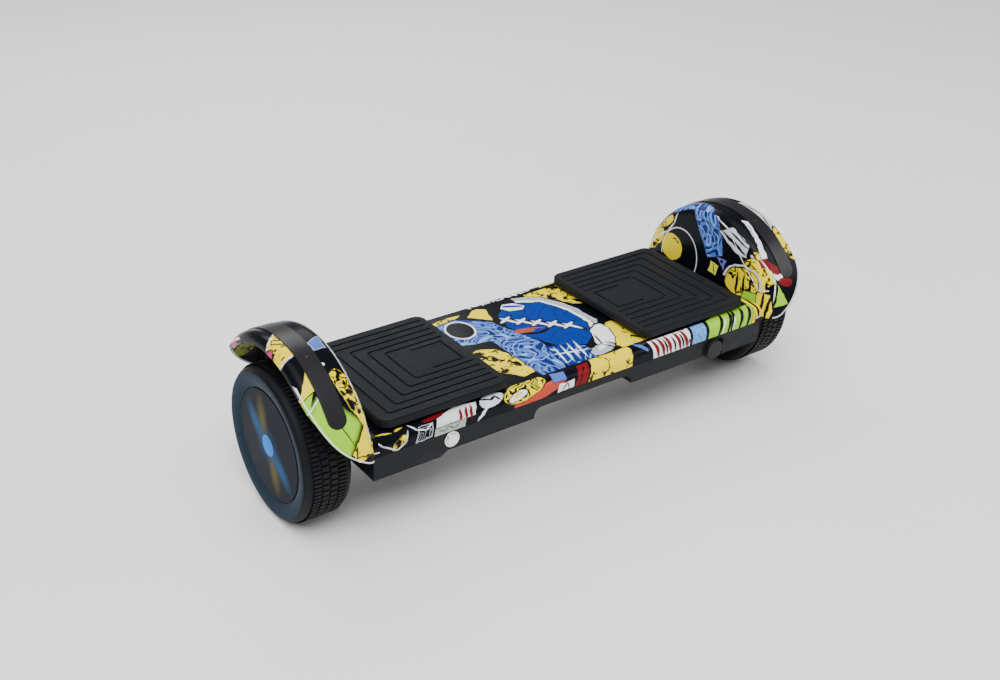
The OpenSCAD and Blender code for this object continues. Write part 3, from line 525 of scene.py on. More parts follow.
def deck_middle(art, c):
    """The panel between the two mats."""
    steady = art.place
    art.place = art.wobble(2.6, 0.09)
    cracked(art, art.union(art.ellipse((76, 74), (32, 24), 14), art.ellipse((90, 46), (15, 22), 25)),
            c.yellow, 40, ink=0.44)
    cracked(art, art.polygon([(-96, -4), (-96, -30), (-62, -74), (-44, -70), (-40, -44), (-52, -8),
                              (-70, 2)]),
            c.yellow, 90, ink=0.42)
    cracked(art, art.union(art.ellipse((84, -56), (22, 34), -24), art.ellipse((96, -78), (24, 12), 0)),
            c.yellow, 15, ink=0.36)
    cracked(art, art.strokes([(-92, 72), (-40, 78)], 9), c.yellow, 9)
    doodled(art, art.polygon([(-100, 80), (-62, 84), (-58, 98), (-100, 98)]), c.green, INK, 3, 1.4, 0.08)
    art.lay(art.strokes([(-70, 88), (-40, 84), (-12, 87)], 5), RUST)
    denim(art, art.union(
        art.polygon([(-94, 18), (-44, 8), (-12, 12), (-20, 46), (-54, 72), (-94, 68)]),
        art.polygon([(-46, -82), (-16, -86), (-3, -56), (-3, -18), (-12, 16), (-48, 16)])), c.sky, 7)
    art.lined(art.strokes([(-92, 26), (-64, 14), (-38, 20)], 8), (0.16, 0.38, 0.66), INK, 0.8)
    art.lined(art.polygon([(-40, 68), (-18, 46), (-8, 74), (-22, 82)]), c.yellow, INK, 1.2)
    panel = art.polygon([(-14, 24), (-8, -4), (6, -40), (36, -54), (58, -38), (69, -12), (67, 24), (53, 56),
                         (16, 76), (-8, 54)])
    right = art.polygon([(30, -44), (120, -44), (120, 80), (30, 80)])
    art.lay(art.both(math(art.tree, "SUBTRACT", panel, 13.0), right), INK)
    art.lay(art.both(math(art.tree, "SUBTRACT", panel, 11.5), right), GREY)
    art.lay(art.both(math(art.tree, "SUBTRACT", panel, 6.0), right), INK)
    art.lay(art.both(math(art.tree, "SUBTRACT", panel, 5.0), right), c.white)
    art.lined(panel, c.royal, INK, 1.4)
    art.lay(art.both(math(art.tree, "ADD", panel, 3.0), art.scribble(0.022, 0.8, 66)), NAVY)
    denim(art, art.polygon([(-12, -82), (32, -82), (34, -52), (8, -38), (-6, -30)]), c.royal, 26)
    art.lined(art.ellipse((62, -48), (32, 13), 62), c.white, INK, 1.4)
    art.lined(art.ellipse((44, -70), (19, 10), 14), GREY, INK, 1.2)
    art.lay(art.ellipse((48, -66), (9, 4), 30), c.white)
    art.place = steady
    art.lined(art.ellipse((-62, 48), (17, 21), -8), c.shell_black, c.white, 2.0)
    patch = art.polygon([(4, 66), (10, 55), (26, 50), (34, 57), (26, 70), (12, 74)])
    art.lined(patch, c.white, INK, 1.0)
    art.lay(art.both(math(art.tree, "ADD", patch, 2.5), art.strokes([(4, 72), (34, 56)], 5)), c.royal)
    laces = art.union(*(art.strokes([(-13 + 13 * row, 38 - 12 * row), (1 + 13 * row, 44 - 12 * row)], 4.6)
                        for row in range(5)),
                      *(art.strokes([(-8 + 13 * row, 46 - 12 * row), (2 + 13 * row, 28 - 12 * row)], 4.0)
                        for row in range(5)))
    art.lined(math(art.tree, "ADD", laces, -1.0), c.white, INK, 1.0)
    art.lay(art.ellipse((-3, 9), (12, 5), -20), RUST)
    art.lay(art.strokes([(-8, 4), (8, -4), (22, -2)], 5), INK)
    art.lay(art.strokes([(-14, 6), (4, 12), (18, 4)], 2), CORAL)
    for x in (-4, 5, 14, 23):
        art.lay(art.strokes([(x - 3, -72), (x + 4, -42)], 2.4), c.white)
    art.lay(art.strokes([(-8, -52), (30, -62)], 2.0), c.white)
    art.lay(art.strokes([(56, -40), (50, -62), (60, -78)], 2.4), INK)


def deck_front(art, c):
    """The band along the front face, on the trim bar and to both ends."""
    steady = art.place
    art.place = art.wobble(1.8, 0.12)
    cracked(art, art.polygon([(-300, -114), (-262, -114), (-254, -92), (-262, -82), (-300, -84)]), c.yellow,
            33)
    art.lined(art.strokes([(-252, -84), (-232, -88), (-218, -84)], 4), c.yellow, INK, 0.8)
    cracked(art, art.strokes([(-236, -110), (-222, -98)], 11), c.yellow, 12)
    doodled(art, art.polygon([(-212, -113), (-191, -112), (-188, -92), (-206, -92)]), GREY, INK, 41, 1.3,
            0.09)
    art.lined(art.polygon([(-190, -114), (-152, -113), (-150, -100), (-188, -101)]), (0.36, 0.43, 0.36),
              INK, 0.8)
    art.lay(art.strokes([(-196, -88), (-170, -84), (-140, -80)], 6), c.maroon)
    art.lined(art.polygon([(-188, -103), (-140, -103), (-132, -84), (-158, -79), (-184, -90)]),
              (0.7, 0.72, 0.74), INK, 1.0)
    for x in (-158, -151, -145):
        art.lay(art.strokes([(x, -103), (x + 3, -88)], 3.6), c.maroon)
    art.lay(art.strokes([(-184, -106), (-178, -109), (-172, -105), (-166, -109), (-160, -106)], 1.2), INK)
    art.lined(art.ellipse((-117, -90), (17, 11), 20), (0.62, 0.66, 0.72), INK, 1.0)
    art.lay(art.strokes([(-128, -84), (-118, -90), (-112, -86), (-108, -94)], 3.0), INK)
    art.lay(art.strokes([(-136, -110), (-126, -100), (-118, -92)], 3), c.white)
    art.lined(art.ellipse((-58, -104), (38, 9), 12), CORAL, INK, 0.8)
    art.lined(art.ellipse((-76, -92), (30, 15), 14), c.yellow, INK, 1.0)
    art.lay(art.both(art.ellipse((-76, -92), (27, 12), 14), art.scribble(0.06, 1.2, 21)), INK)
    art.lay(art.both(art.ellipse((-60, -88), (10, 6), 0), art.blots(0.1, 0.5, 2)), OLIVE)
    art.lined(art.ellipse((-86, -98), (15, 6), 18), c.white, INK, 1.0)
    art.lay(art.ellipse((-86, -97), (7, 2.5), 18), c.yellow)
    art.lined(art.polygon([(-42, -98), (-24, -100), (-21, -84), (-40, -82)]), c.sky, INK, 0.8)
    art.lined(art.polygon([(-38, -113), (-14, -112), (-13, -101), (-34, -101)]), c.white, INK, 0.8)
    art.lay(art.strokes([(-30, -112), (-24, -102), (-20, -112)], 1.8), INK)
    art.lay(art.polygon([(-14, -114), (2, -114), (10, -84), (-4, -84)]), c.maroon)
    art.lay(art.strokes([(-8, -113), (-2, -98), (2, -88)], 1.6), INK)
    cracked(art, art.polygon([(3, -116), (66, -116), (70, -80), (14, -80)]), c.yellow, 5, 0.05, 0.22)
    art.lay(art.strokes([(78, -82), (88, -98)], 5), c.sky)
    art.place = steady
    striped(art, [(96, -116), (150, -116), (153, -84), (92, -84)], c.white, c.maroon,
            (104, 112, 122, 136, 146), -112, -86, -5, 4.8)
    stripes = art.polygon([(96, -116), (150, -116), (153, -84), (92, -84)])
    for x in (117, 129, 141):
        art.lay(art.both(stripes, art.strokes([(x, -112), (x - 4, -90)], 3)), INK)
    art.lay(art.both(stripes, art.blots(0.12, 0.36, 17)), c.maroon)
    doodled(art, art.polygon([(152, -116), (175, -116), (177, -84), (155, -84)]), (0.1, 0.28, 0.66), PALE,
            55, 0.7, 0.06)
    striped(art, [(177, -116), (250, -116), (262, -60), (180, -84)], c.green, INK,
            (194, 208, 213, 226, 238), -114, -82, 10, 5)
    art.lay(art.strokes([(200, -112), (206, -92)], 2.2), c.white)
    art.lay(art.strokes([(216, -110), (221, -94)], 2.2), c.white)
    striped(art, [(244, -116), (300, -116), (300, -84), (252, -84)], c.yellow, INK, (252, 262), -116, -84,
            3, 5)
    # Painted shade: a dark line along the recess that the trim bar sits in, and round the bar's rounded end
    art.lay(art.strokes([(-68, -80.2), (68, -80.2)], 1.7), INK)
    bar_end = art.polygon([(66, -120), (90, -120), (90, -80), (66, -80)])
    art.lay(art.both(art.outline(art.ellipse((66.5, -103.5), (9.4, 9.4)), 1.6), bar_end), INK)
    # Thin white line that sweeps round the left end
    art.lay(art.strokes([(-262, -70), (-258, -88), (-248, -102), (-232, -112), (-222, -106), (-218, -94)],
                        1.5), c.white)
    art.lay(art.strokes([(-214, -86), (-208, -96), (-198, -100), (-190, -94)], 1.8), c.white)


def deck_rear(art, c):
    """The band along the rear face and the strips beside the mats."""
    art.place = art.wobble(1.8, 0.1)
    striped(art, [(-90, 90), (-40, 90), (-38, 116), (-94, 116)], c.green, INK, (-84, -72, -60, -48), 92,
            114, 6, 5)
    art.lay(art.polygon([(-30, 82), (66, 82), (70, 116), (-34, 116)]), INK)
    art.lay(art.both(art.polygon([(-26, 84), (62, 84), (66, 112), (-30, 112)]),
                     art.scribble(0.05, 1.3, 47)), c.white)
    art.lay(art.strokes([(-20, 96), (-4, 86), (14, 97), (30, 86), (44, 96), (60, 88)], 4), c.white)
    cracked(art, art.polygon([(74, 84), (150, 88), (148, 116), (72, 116)]), c.yellow, 61)
    doodled(art, art.polygon([(152, 88), (214, 88), (212, 116), (154, 116)]), c.sky, PALE, 12)
    cracked(art, art.polygon([(216, 88), (300, 84), (300, 116), (214, 116)]), c.yellow, 71)
    doodled(art, art.polygon([(-170, 88), (-98, 88), (-100, 116), (-168, 116)]), c.royal, c.white, 31)
    cracked(art, art.polygon([(-300, 84), (-226, 88), (-228, 116), (-300, 116)]), c.yellow, 44)
    striped(art, [(-222, 88), (-174, 88), (-172, 116), (-224, 116)], c.white, c.maroon,
            (-214, -204, -192, -182), 90, 114, 6, 4)
    # Painted shade: a dark line along the crease at the rear band's edge
    art.lay(art.strokes([(-90, 80.2), (90, 80.2)], 1.7), INK)


def left_crown(art, c):
    """The outside of the left fender, from its inner crest to its outer edge."""
    steady = art.place
    art.place = art.wobble(1.6, 0.12)
    tip = art.polygon([(301, 150), (326, 142), (325, 172), (300, 196)])
    cracked(art, tip, c.yellow, 3, 0.08, 0.4)
    art.lay(art.both(art.outline(tip, 2.2), art.scribble(0.09, 1.2, 14)), c.white)
    art.lined(art.polygon([(316, 168), (326, 158), (326, 190)]), PINK, INK, 0.8)
    art.lay(art.polygon([(304, 107), (323, 99), (304, 128)]), c.yellow)
    art.lined(art.polygon([(318, 82), (326, 98), (306, 106)]), c.green, INK, 1.0)
    field = art.polygon([(292, 34), (313, 56), (323, 80), (306, 99), (285, 82), (272, 64)])
    art.lay(field, INK)
    art.lay(math(art.tree, "ADD", field, 0.8), (0.1, 0.22, 0.02))
    art.lay(math(art.tree, "ADD", field, 1.2), c.green, 3.0)
    scrawl = art.union(
        art.polygon([(256, 34), (283, 26), (290, 37), (271, 61), (256, 70)]),
        art.polygon([(258, 62), (272, 60), (279, 80), (285, 105), (285, 119), (276, 123), (264, 110),
                     (258, 80)]))
    cracked(art, scrawl, c.yellow, 18, 0.07)
    upper = art.polygon([(256, 72), (290, 72), (290, 126), (256, 126)])
    art.lay(art.both(art.both(math(art.tree, "ADD", scrawl, 1.6), upper), art.blots(0.16, 0.5, 5)), INK)
    art.lined(art.polygon([(271, 148), (284, 148), (285, 161), (270, 168)]), c.sky, GREY, 0.8)
    cracked(art, art.ellipse((300, 285), (16, 30), 10), OLIVE, 52, 0.08)
    art.lined(art.ellipse((316, 262), (6, 14), 0), PINK, INK, 0.8)
    denim(art, art.ellipse((272, 250), (12, 40), 0), c.sky, 19)
    art.place = steady
    art.lay(art.strokes([(322, 84), (312, 92), (305, 97), (300, 84), (294, 66)], 1.6), c.white)
    art.lay(art.strokes([(304, 97), (298, 78), (284, 44)], 1.2), INK)
    art.lay(art.ellipse((284, 130), (1.4, 1.8)), c.white)


def right_crown(art, c):
    """The outside of the right fender, from its inner crest to its outer edge."""
    steady = art.place
    art.place = art.wobble(1.6, 0.12)
    cracked(art, art.polygon([(262, 58), (276, 62), (274, 98), (262, 112)]), c.yellow, 58, 0.08)
    art.lined(art.polygon([(268, 93), (276, 91), (286, 145), (279, 152)]), c.white, INK, 0.8)
    art.lay(art.strokes([(271, 112), (276, 124), (281, 142)], 1.4), INK)
    art.lined(art.ellipse((281, 69), (8, 6), -30), c.white, INK, 0.8)
    art.lined(art.polygon([(303, 122), (315, 118), (318, 182), (305, 186)]), (0.6, 0.6, 0.62), INK, 1.0)
    cracked(art, art.ellipse((312, 104), (8, 26), 4), c.yellow, 27, 0.09, 0.4)
    art.lay(art.strokes([(266, 92), (276, 80), (284, 74)], 10), c.maroon)
    art.lay(art.strokes([(282, 62), (296, 58)], 10), c.maroon)
    art.lined(art.polygon([(266, 34), (288, 34), (277, 62)]), c.green, INK, 1.0)
    striped(art, [(240, 20), (263, 24), (264, 60), (240, 64)], c.yellow, INK, (248, 256), 20, 64, 3, 3.4)
    cracked(art, art.ellipse((298, 270), (20, 44), -8), c.yellow, 64, 0.07)
    denim(art, art.ellipse((268, 220), (10, 40), 0), c.sky, 29)
    art.place = steady
    art.lay(art.strokes([(306, 128), (311, 150), (307, 178)], 2.0), INK)
    art.lay(art.strokes([(268, 44), (274, 64), (268, 92)], 1.5), c.white)


def fender_wall(art, c):
    """The large dark face that looks across the deck."""
    steady = art.place
    art.place = art.wobble(1.8, 0.1)
    denim(art, art.polygon([(-27, 151), (-3, 139), (19, 168), (40, 194), (-4, 200), (-23, 168)]), c.sky, 3)
    art.lined(art.polygon([(-31, 134), (-17, 148), (-34, 149)]), (0.14, 0.14, 0.45), INK, 0.6)
    art.lay(art.ellipse((-27, 144), (2.5, 2)), INK)
    art.lined(art.polygon([(-62, 160), (-46, 160), (-12, 178), (-34, 190), (-60, 182)]), (0.62, 0.66, 0.75),
              INK, 1.0)
    art.lay(art.strokes([(-60, 164), (-18, 180)], 4), INK)
    art.lay(art.strokes([(-60, 172), (-26, 186)], 2.4), INK)
    art.lined(art.strokes([(-104, 152), (-70, 176), (-28, 196)], 11), c.white, INK, 1.0)
    art.lined(art.strokes([(-96, 146), (-64, 168)], 8), (0.75, 0.77, 0.8), INK, 1.0)
    art.lay(art.ellipse((-90, 163), (9, 6), 30), c.maroon)
    art.lay(art.ellipse((-108, 148), (8, 6), 40), c.maroon)
    cracked(art, art.polygon([(-96, 128), (-74, 128), (-56, 156), (-70, 166), (-88, 158)]), c.yellow, 13,
            0.09, 0.34)
    hump = art.ellipse((-60, 131), (26, 18), -12)
    cracked(art, hump, c.yellow, 23, 0.08)
    for x in (-74, -64, -54):
        art.lay(art.both(hump, art.strokes([(x, 116), (x + 2, 142)], 3.4)), INK)
    rim = art.outline(art.ellipse((-60, 131), (29, 21), -12), 2.2)
    upper = art.polygon([(-96, 130), (-30, 130), (-30, 160), (-96, 160)])
    art.lay(art.both(rim, upper), (0.6, 0.64, 0.75))
    striped(art, [(-114, 92), (-82, 92), (-84, 128), (-108, 132)], c.yellow, INK, (-106, -98, -90), 94, 130,
            -4, 4)
    art.lined(art.polygon([(-86, 92), (-60, 92), (-64, 123), (-84, 126)]), c.green, INK, 1.0)
    art.lined(art.polygon([(-22, 124), (-8, 126), (-9, 140), (-24, 138)]), (0.68, 0.7, 0.06), INK, 0.8)
    art.lay(art.strokes([(-18, 126), (-14, 137)], 1.6), INK)
    art.lined(art.ellipse((60, 130), (21, 17), -10), c.yellow, INK, 1.0)
    art.lay(art.both(art.ellipse((60, 130), (18, 14), -10), art.cracks(0.05, 0.6, 4)), INK)
    cracked(art, art.ellipse((84, 156), (24, 9), -24), c.yellow, 8, 0.09)
    cracked(art, art.ellipse((98, 130), (26, 15), -42), c.yellow, 37, 0.1, 0.36)
    art.place = steady
    loop = art.outline(art.ellipse((45, 124), (34, 35), 12), 1.3)
    art.lay(art.both(loop, art.polygon([(0, 112), (90, 116), (90, 170), (0, 170)])), c.white)
    art.lay(art.strokes([(60, 172), (62, 160), (72, 146), (88, 134), (102, 118)], 2.0), c.white)
    art.lay(art.strokes([(-118, 140), (-86, 130), (-60, 152), (-40, 172), (-30, 184)], 1.4), c.white)
    art.lay(art.strokes([(-30, 184), (-10, 190), (6, 198)], 1.4), c.white)


def print_finish(name, place_of, *painters):
    """A glossy moulding with artwork printed on it."""
    c = colours()
    finish = Finish(name, c.shell_black, roughness=0.24, grain=0.25, grain_scale=420.0, bump=0.04,
                    shade=0.05,
                    rough_change=0.07, specular=0.07, coat=0.03, coat_roughness=0.06,
                    wear=((0.3, 0.3, 0.3), 0.2))
    tree = finish.tree
    art = Print(tree, place_of(tree), c.shell_black)
    for paint in painters:
        paint(art, c)
    put(tree, finish.surface.inputs["Colour"], art.colour)
    return finish.material


def lip_line(art, c):
    """White line just inside the swept edge of a fender."""
    x, _, z = object_axes(art.tree)
    side = combine(art.tree, math(art.tree, "ABSOLUTE", x), z)
    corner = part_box("right_fender")[1]
    centre = (corner.x / MM - SWEEP_RADIUS, corner.z / MM - SWEEP_DROP)
    sweep = art.ellipse(centre, (SWEEP_RADIUS, SWEEP_RADIUS), 0, side)
    front = math(art.tree, "SUBTRACT", z, centre[1])
    art.lay(art.both(art.outline(math(art.tree, "ADD", sweep, 0.6), 1.2), front), c.white)


# ---------------------------------------------------------------- plain finishes

def plain_recipes():
    """What each of the record's other material slots is made of."""
    c = colours()
    steel = (0.52, 0.53, 0.55)
    return {
        "housing_black": dict(colour=(0.0062, 0.0074, 0.0096), roughness=0.45, grain=0.6,
                              grain_scale=1500.0, bump=0.22, shade=0.05, rough_change=0.06, specular=0.15,
                              wear=((0.04, 0.042, 0.046), 0.4)),
        "strip_black": dict(colour=(0.01, 0.01, 0.012), roughness=0.34, grain_scale=1100.0, bump=0.06,
                            shade=0.06, rough_change=0.08, specular=0.24, coat=0.05, coat_roughness=0.15,
                            wear=((0.05, 0.05, 0.055), 0.3)),
        "mat_rubber": dict(colour=c.rubber, roughness=0.58, grain=0.9, grain_scale=1300.0, bump=0.35,
                           shade=0.1, rough_change=0.1, specular=0.13, sheen=0.02,
                           wear=((0.03, 0.032, 0.037), 0.5)),
        "pedal_black": dict(colour=(0.007, 0.007, 0.008), roughness=0.5, grain=0.6, grain_scale=1500.0,
                            bump=0.2, specular=0.25, wear=((0.04, 0.04, 0.045), 0.4)),
        "tyre_rubber": dict(colour=(0.0048, 0.0054, 0.0068), roughness=0.55, grain=0.8, grain_scale=1100.0,
                            bump=0.3, shade=0.2, rough_change=0.12, specular=0.14,
                            wear=((0.028, 0.028, 0.03), 0.6)),
        "button_metal": dict(colour=(0.8, 0.81, 0.82), roughness=0.14, grain=0.2, bump=0.03, metallic=1.0,
                             wear=((0.9, 0.9, 0.9), 0.4)),
        "cap_rubber": dict(colour=(0.007, 0.007, 0.008), roughness=0.5, grain=0.6, grain_scale=1400.0,
                           bump=0.2, specular=0.25, wear=((0.03, 0.03, 0.03), 0.5)),
        "cast_aluminium": dict(colour=(0.56, 0.57, 0.59), roughness=0.42, grain=0.9, grain_scale=700.0,
                               bump=0.3, metallic=1.0, rough_change=0.12, wear=((0.68, 0.69, 0.71), 0.5)),
        "machined_steel": dict(colour=steel, roughness=0.26, bump=0.06, metallic=1.0,
                               wear=((0.75, 0.75, 0.77), 0.5)),
        "motor_cast": dict(colour=(0.045, 0.047, 0.052), roughness=0.4, grain=0.8, grain_scale=800.0,
                           bump=0.25, metallic=0.2, wear=((0.09, 0.09, 0.095), 0.4)),
        "lamination": dict(colour=(0.2, 0.21, 0.23), roughness=0.38, grain=0.4, bump=0.1, metallic=1.0,
                           wear=((0.5, 0.5, 0.5), 0.4)),
        "copper": dict(colour=(0.62, 0.23, 0.08), roughness=0.3, grain=0.8, grain_scale=500.0, bump=0.3,
                       metallic=1.0, wear=((0.8, 0.4, 0.2), 0.5)),
        "magnet": dict(colour=(0.4, 0.4, 0.42), roughness=0.25, grain=0.2, bump=0.04, metallic=1.0,
                       wear=((0.7, 0.7, 0.7), 0.4)),
        "screw_steel": dict(colour=steel, roughness=0.3, bump=0.06, metallic=1.0,
                            wear=((0.75, 0.75, 0.75), 0.6)),
        "circuit_board": dict(colour=(0.01, 0.1, 0.035), roughness=0.3, grain=0.5, grain_scale=600.0,
                              bump=0.1, shade=0.2, coat=0.3, wear=((0.5, 0.4, 0.12), 0.3)),
        "battery_wrap": dict(colour=(0.01, 0.06, 0.28), roughness=0.25, grain=0.4, grain_scale=200.0,
                             bump=0.12, coat=0.4, wear=((0.2, 0.3, 0.5), 0.3)),
        "strap": dict(colour=(0.015, 0.015, 0.016), roughness=0.6, grain=0.7, bump=0.25,
                      wear=((0.08, 0.08, 0.08), 0.4)),
        "switch_black": dict(colour=(0.012, 0.012, 0.013), roughness=0.4, grain=0.4, bump=0.12,
                             wear=((0.08, 0.08, 0.08), 0.4)),
        "buffer_rubber": dict(colour=(0.06, 0.06, 0.064), roughness=0.6, grain=0.6, bump=0.2, sheen=0.1,
                              wear=((0.12, 0.12, 0.12), 0.4)),
        "hub_gloss": dict(colour=c.hub, roughness=0.3, grain=0.2, grain_scale=500.0, bump=0.03, shade=0.08,
                          rough_change=0.06, specular=0.02, wear=((0.05, 0.07, 0.09), 0.4)),
    }


def material_for(slot):
    """The material of a slot, made the first time it is asked for."""
    if slot == "hub_lens":
        return bpy.data.materials.get("Hub lens") or lens_finish()
    name = slot.replace("_", " ").capitalize()
    found = bpy.data.materials.get(name)
    if found is None:
        recipe = plain_recipes()[slot]
        found = Finish(name, recipe.pop("colour"), **recipe).material
    return found


def lens_finish():
    """Smoked lens lit from behind: a blue hub and four soft blades in blue and amber."""
    finish = Finish("Hub lens", (0.007, 0.01, 0.016), roughness=0.22, grain=0.1, grain_scale=500.0,
                    bump=0.02,
                    shade=0.1, rough_change=0.04, specular=0.015, wear=((0.04, 0.05, 0.07), 0.2))
    tree = finish.tree
    # Distances in millimetres from the wheel's centre, and angles in degrees
    blade_reach, blade_size, blade_lean = 28, (24, 10), 12
    dome, halo_size, dot_pitch = (11.5, 11.5), (20, 20), 2.4
    _, y, z = object_axes(tree)
    place = combine(tree, y, math(tree, "SUBTRACT", z, AXLE_Z / MM))
    art = Print(tree, place, INK)
    dots = math(tree, "MULTIPLY",
                step(tree, math(tree, "SINE", math(tree, "MULTIPLY", y, dot_pitch)), -0.6, 0.9),
                step(tree, math(tree, "SINE", math(tree, "MULTIPLY", z, dot_pitch)), -0.6, 0.9))
    glow = opaque((0, 0, 0))
    amber, blue = (0.22, 0.17, 0.018), (0.01, 0.09, 0.22)
    for turn, colour in ((70, amber), (250, amber), (33, blue), (213, blue)):
        centre = (blade_reach * cos(radians(turn)), blade_reach * sin(radians(turn)))
        blade = art.ellipse(centre, blade_size, turn + blade_lean)
        strength = math(tree, "MULTIPLY", step(tree, blade, 2.5, -8.0),
                        math(tree, "MULTIPLY_ADD", dots, 0.6, 0.4) if colour is amber else 1.0)
        glow = mix_colour(tree, strength, glow, opaque(colour))
    halo = step(tree, art.ellipse((0, 0), halo_size), 6.0, -14.0)
    glow = mix_colour(tree, math(tree, "MULTIPLY", halo, 0.35), glow, opaque((0.015, 0.1, 0.3)))
    hub = step(tree, art.ellipse((0, 0), dome), 0.5, -0.5)
    glow = mix_colour(tree, hub, glow, opaque((0.03, 0.3, 0.95)))
    link(tree, glow, finish.shader.inputs["Emission Color"])
    finish.shader.inputs["Emission Strength"].default_value = 1.0
    return finish.material


# ---------------------------------------------------------------- modelling helpers

def deselect_all():
    if bpy.context.mode != "OBJECT":
        bpy.ops.object.mode_set(mode="OBJECT")
    bpy.ops.object.select_all(action="DESELECT")


def select_only(obj):
    deselect_all()
    obj.select_set(True)
    bpy.context.view_layer.objects.active = obj


def dress(obj, *materials):
    obj.data.materials.clear()
    for material in materials:
        obj.data.materials.append(material)


def finished_copy(node, edge, *, segments=2, smooth=32, cuts=()):
    """A merged copy of a design piece with its moulded edges softened, which stands for that piece.
    cuts are the Y places where its faces are split, so that neighbouring faces can differ in finish."""
    source = frame["nodes"][node]
    piece = bpy.data.objects.new(node + "_finished", source.data.copy())
    bpy.context.collection.objects.link(piece)
    select_only(piece)
    bpy.ops.object.mode_set(mode="EDIT")
    bpy.ops.mesh.select_all(action="SELECT")
    bpy.ops.mesh.remove_doubles(threshold=0.00002)
    bpy.ops.mesh.dissolve_limited(angle_limit=radians(0.6))
    for y in cuts:
        bpy.ops.mesh.select_all(action="SELECT")
        bpy.ops.mesh.bisect(plane_co=(0, y, 0), plane_no=(0, 1, 0))
    bpy.ops.object.mode_set(mode="OBJECT")
    apply_bevel(piece, edge, segments)
    bpy.ops.object.shade_smooth_by_angle(angle=radians(smooth))
    weighted = piece.modifiers.new("Shading", "WEIGHTED_NORMAL")
    weighted.keep_sharp = True
    bpy.ops.object.modifier_apply(modifier=weighted.name)
    body = source["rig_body"]
    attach(piece, body)
    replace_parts(piece, node)
    return piece


def slot_of(node):
    for entry in frame["record"]["subparts"]:
        if entry["node"] == node:
            return entry["material_slot"]
    raise KeyError(node)


def leave(name):
    """Takes an object from an earlier run of the same operator out of the way."""
    old = bpy.data.objects.get(name)
    if old is not None:
        bpy.data.objects.remove(old)


def select_faces(piece, wanted):
    """Selects the faces that wanted(centre, normal) accepts, in edit mode, and goes on in edit mode."""
    select_only(piece)
    bpy.ops.object.mode_set(mode="EDIT")
    bpy.ops.mesh.select_mode(type="FACE")
    bpy.ops.mesh.select_all(action="DESELECT")
    bpy.ops.object.mode_set(mode="OBJECT")
    for face in piece.data.polygons:
        face.select = bool(wanted(face.center, face.normal))
    bpy.ops.object.mode_set(mode="EDIT")


def select_edges(piece, wanted):
    """Selects the edges whose two ends wanted(a, b) accepts, in edit mode."""
    select_only(piece)
    bpy.ops.object.mode_set(mode="EDIT")
    bpy.ops.mesh.select_mode(type="EDGE")
    bpy.ops.mesh.select_all(action="DESELECT")
    bpy.ops.object.mode_set(mode="OBJECT")
    points = piece.data.vertices
    for edge in piece.data.edges:
        edge.select = bool(wanted(points[edge.vertices[0]].co, points[edge.vertices[1]].co))
    bpy.ops.object.mode_set(mode="EDIT")


def settle(piece, name):
    """Leaves edit mode, puts the piece's place into its mesh and names it."""
    if bpy.context.mode != "OBJECT":
        bpy.ops.object.mode_set(mode="OBJECT")
    select_only(piece)
    bpy.ops.object.transform_apply(location=True, rotation=True, scale=True)
    leave(name)
    piece.name = name
    piece.data.name = name
    return piece


def apply_bevel(piece, width, segments=2):
    """Softens a piece's sharp edges."""
    select_only(piece)
    bevel = piece.modifiers.new("Edges", "BEVEL")
    bevel.width = width
    bevel.segments = segments
    bevel.limit_method = "ANGLE"
    bevel.angle_limit = radians(BEVEL_ANGLE)
    bevel.use_clamp_overlap = True
    bpy.ops.object.modifier_apply(modifier=bevel.name)


def ring_of(piece, count):
    """Repeats a piece round the wheel axle."""
    centre = Vector((0, 0, AXLE_Z))
    turn = bpy.data.objects.new("ring_step", None)
    bpy.context.collection.objects.link(turn)
    turn.matrix_world = (Matrix.Translation(centre) @ Matrix.Rotation(2 * pi / count, 4, "X")
                         @ Matrix.Translation(-centre))
    bpy.context.view_layer.update()
    select_only(piece)
    ring = piece.modifiers.new("Ring", "ARRAY")
    ring.use_relative_offset = False
    ring.use_object_offset = True
    ring.offset_object = turn
    ring.count = count
    bpy.ops.object.modifier_apply(modifier=ring.name)
    bpy.data.objects.remove(turn)


def joined(name, *pieces):
    deselect_all()
    for piece in pieces:
        piece.select_set(True)
    bpy.context.view_layer.objects.active = pieces[0]
    bpy.ops.object.join()
    return settle(pieces[0], name)


# ---------------------------------------------------------------- pieces

def printed_shells():
    """The deck, its two trim bars and both fenders, with the artwork that runs over them."""
    finishes = [print_finish("Printed deck", deck_place, deck_middle),
                print_finish("Printed front band", deck_place, deck_front),
                print_finish("Printed rear band", deck_place, deck_rear)]
    band = DECK_HALF - BAR_DEPTH
    deck = finished_copy("top_shell", sizes().shell_edge, cuts=(-band, band))
    dress(deck, *finishes)
    for face in deck.data.polygons:
        y = face.center.y
        face.material_index = 1 if y < -band else 2 if y > band else 0
    dress(finished_copy("front_trim_bar", sizes().shell_edge), finishes[1])
    dress(finished_copy("rear_trim_bar", sizes().shell_edge), finishes[2])
    wall = print_finish("Printed wall", wall_place, fender_wall)
    crowns = {"left": (left_crown, crest_line, lip_line), "right": (right_crown, lip_line)}
    side_on, turned_in = 0.75, -0.2
    for side in SIDES:
        piece = finished_copy(side + "_fender", sizes().shell_edge, smooth=40)
        crown = print_finish("Printed " + side + " crown",
                             lambda tree, s=SIGN[side]: crown_place(tree, s), *crowns[side])
        dress(piece, crown, wall, material_for("housing_black"))
        for face in piece.data.polygons:
            outward = face.normal.x * SIGN[side]
            reach = Vector((0, face.center.y, face.center.z - AXLE_Z)).normalized()
            in_tip = side == "left" and face.center.y > TIP_START
            under = reach.dot(face.normal) < turned_in and not in_tip
            in_arch = under or (outward > side_on and abs(face.center.x) < TYRE_LOW.x)
            face.material_index = 1 if outward < -side_on else 2 if in_arch else 0


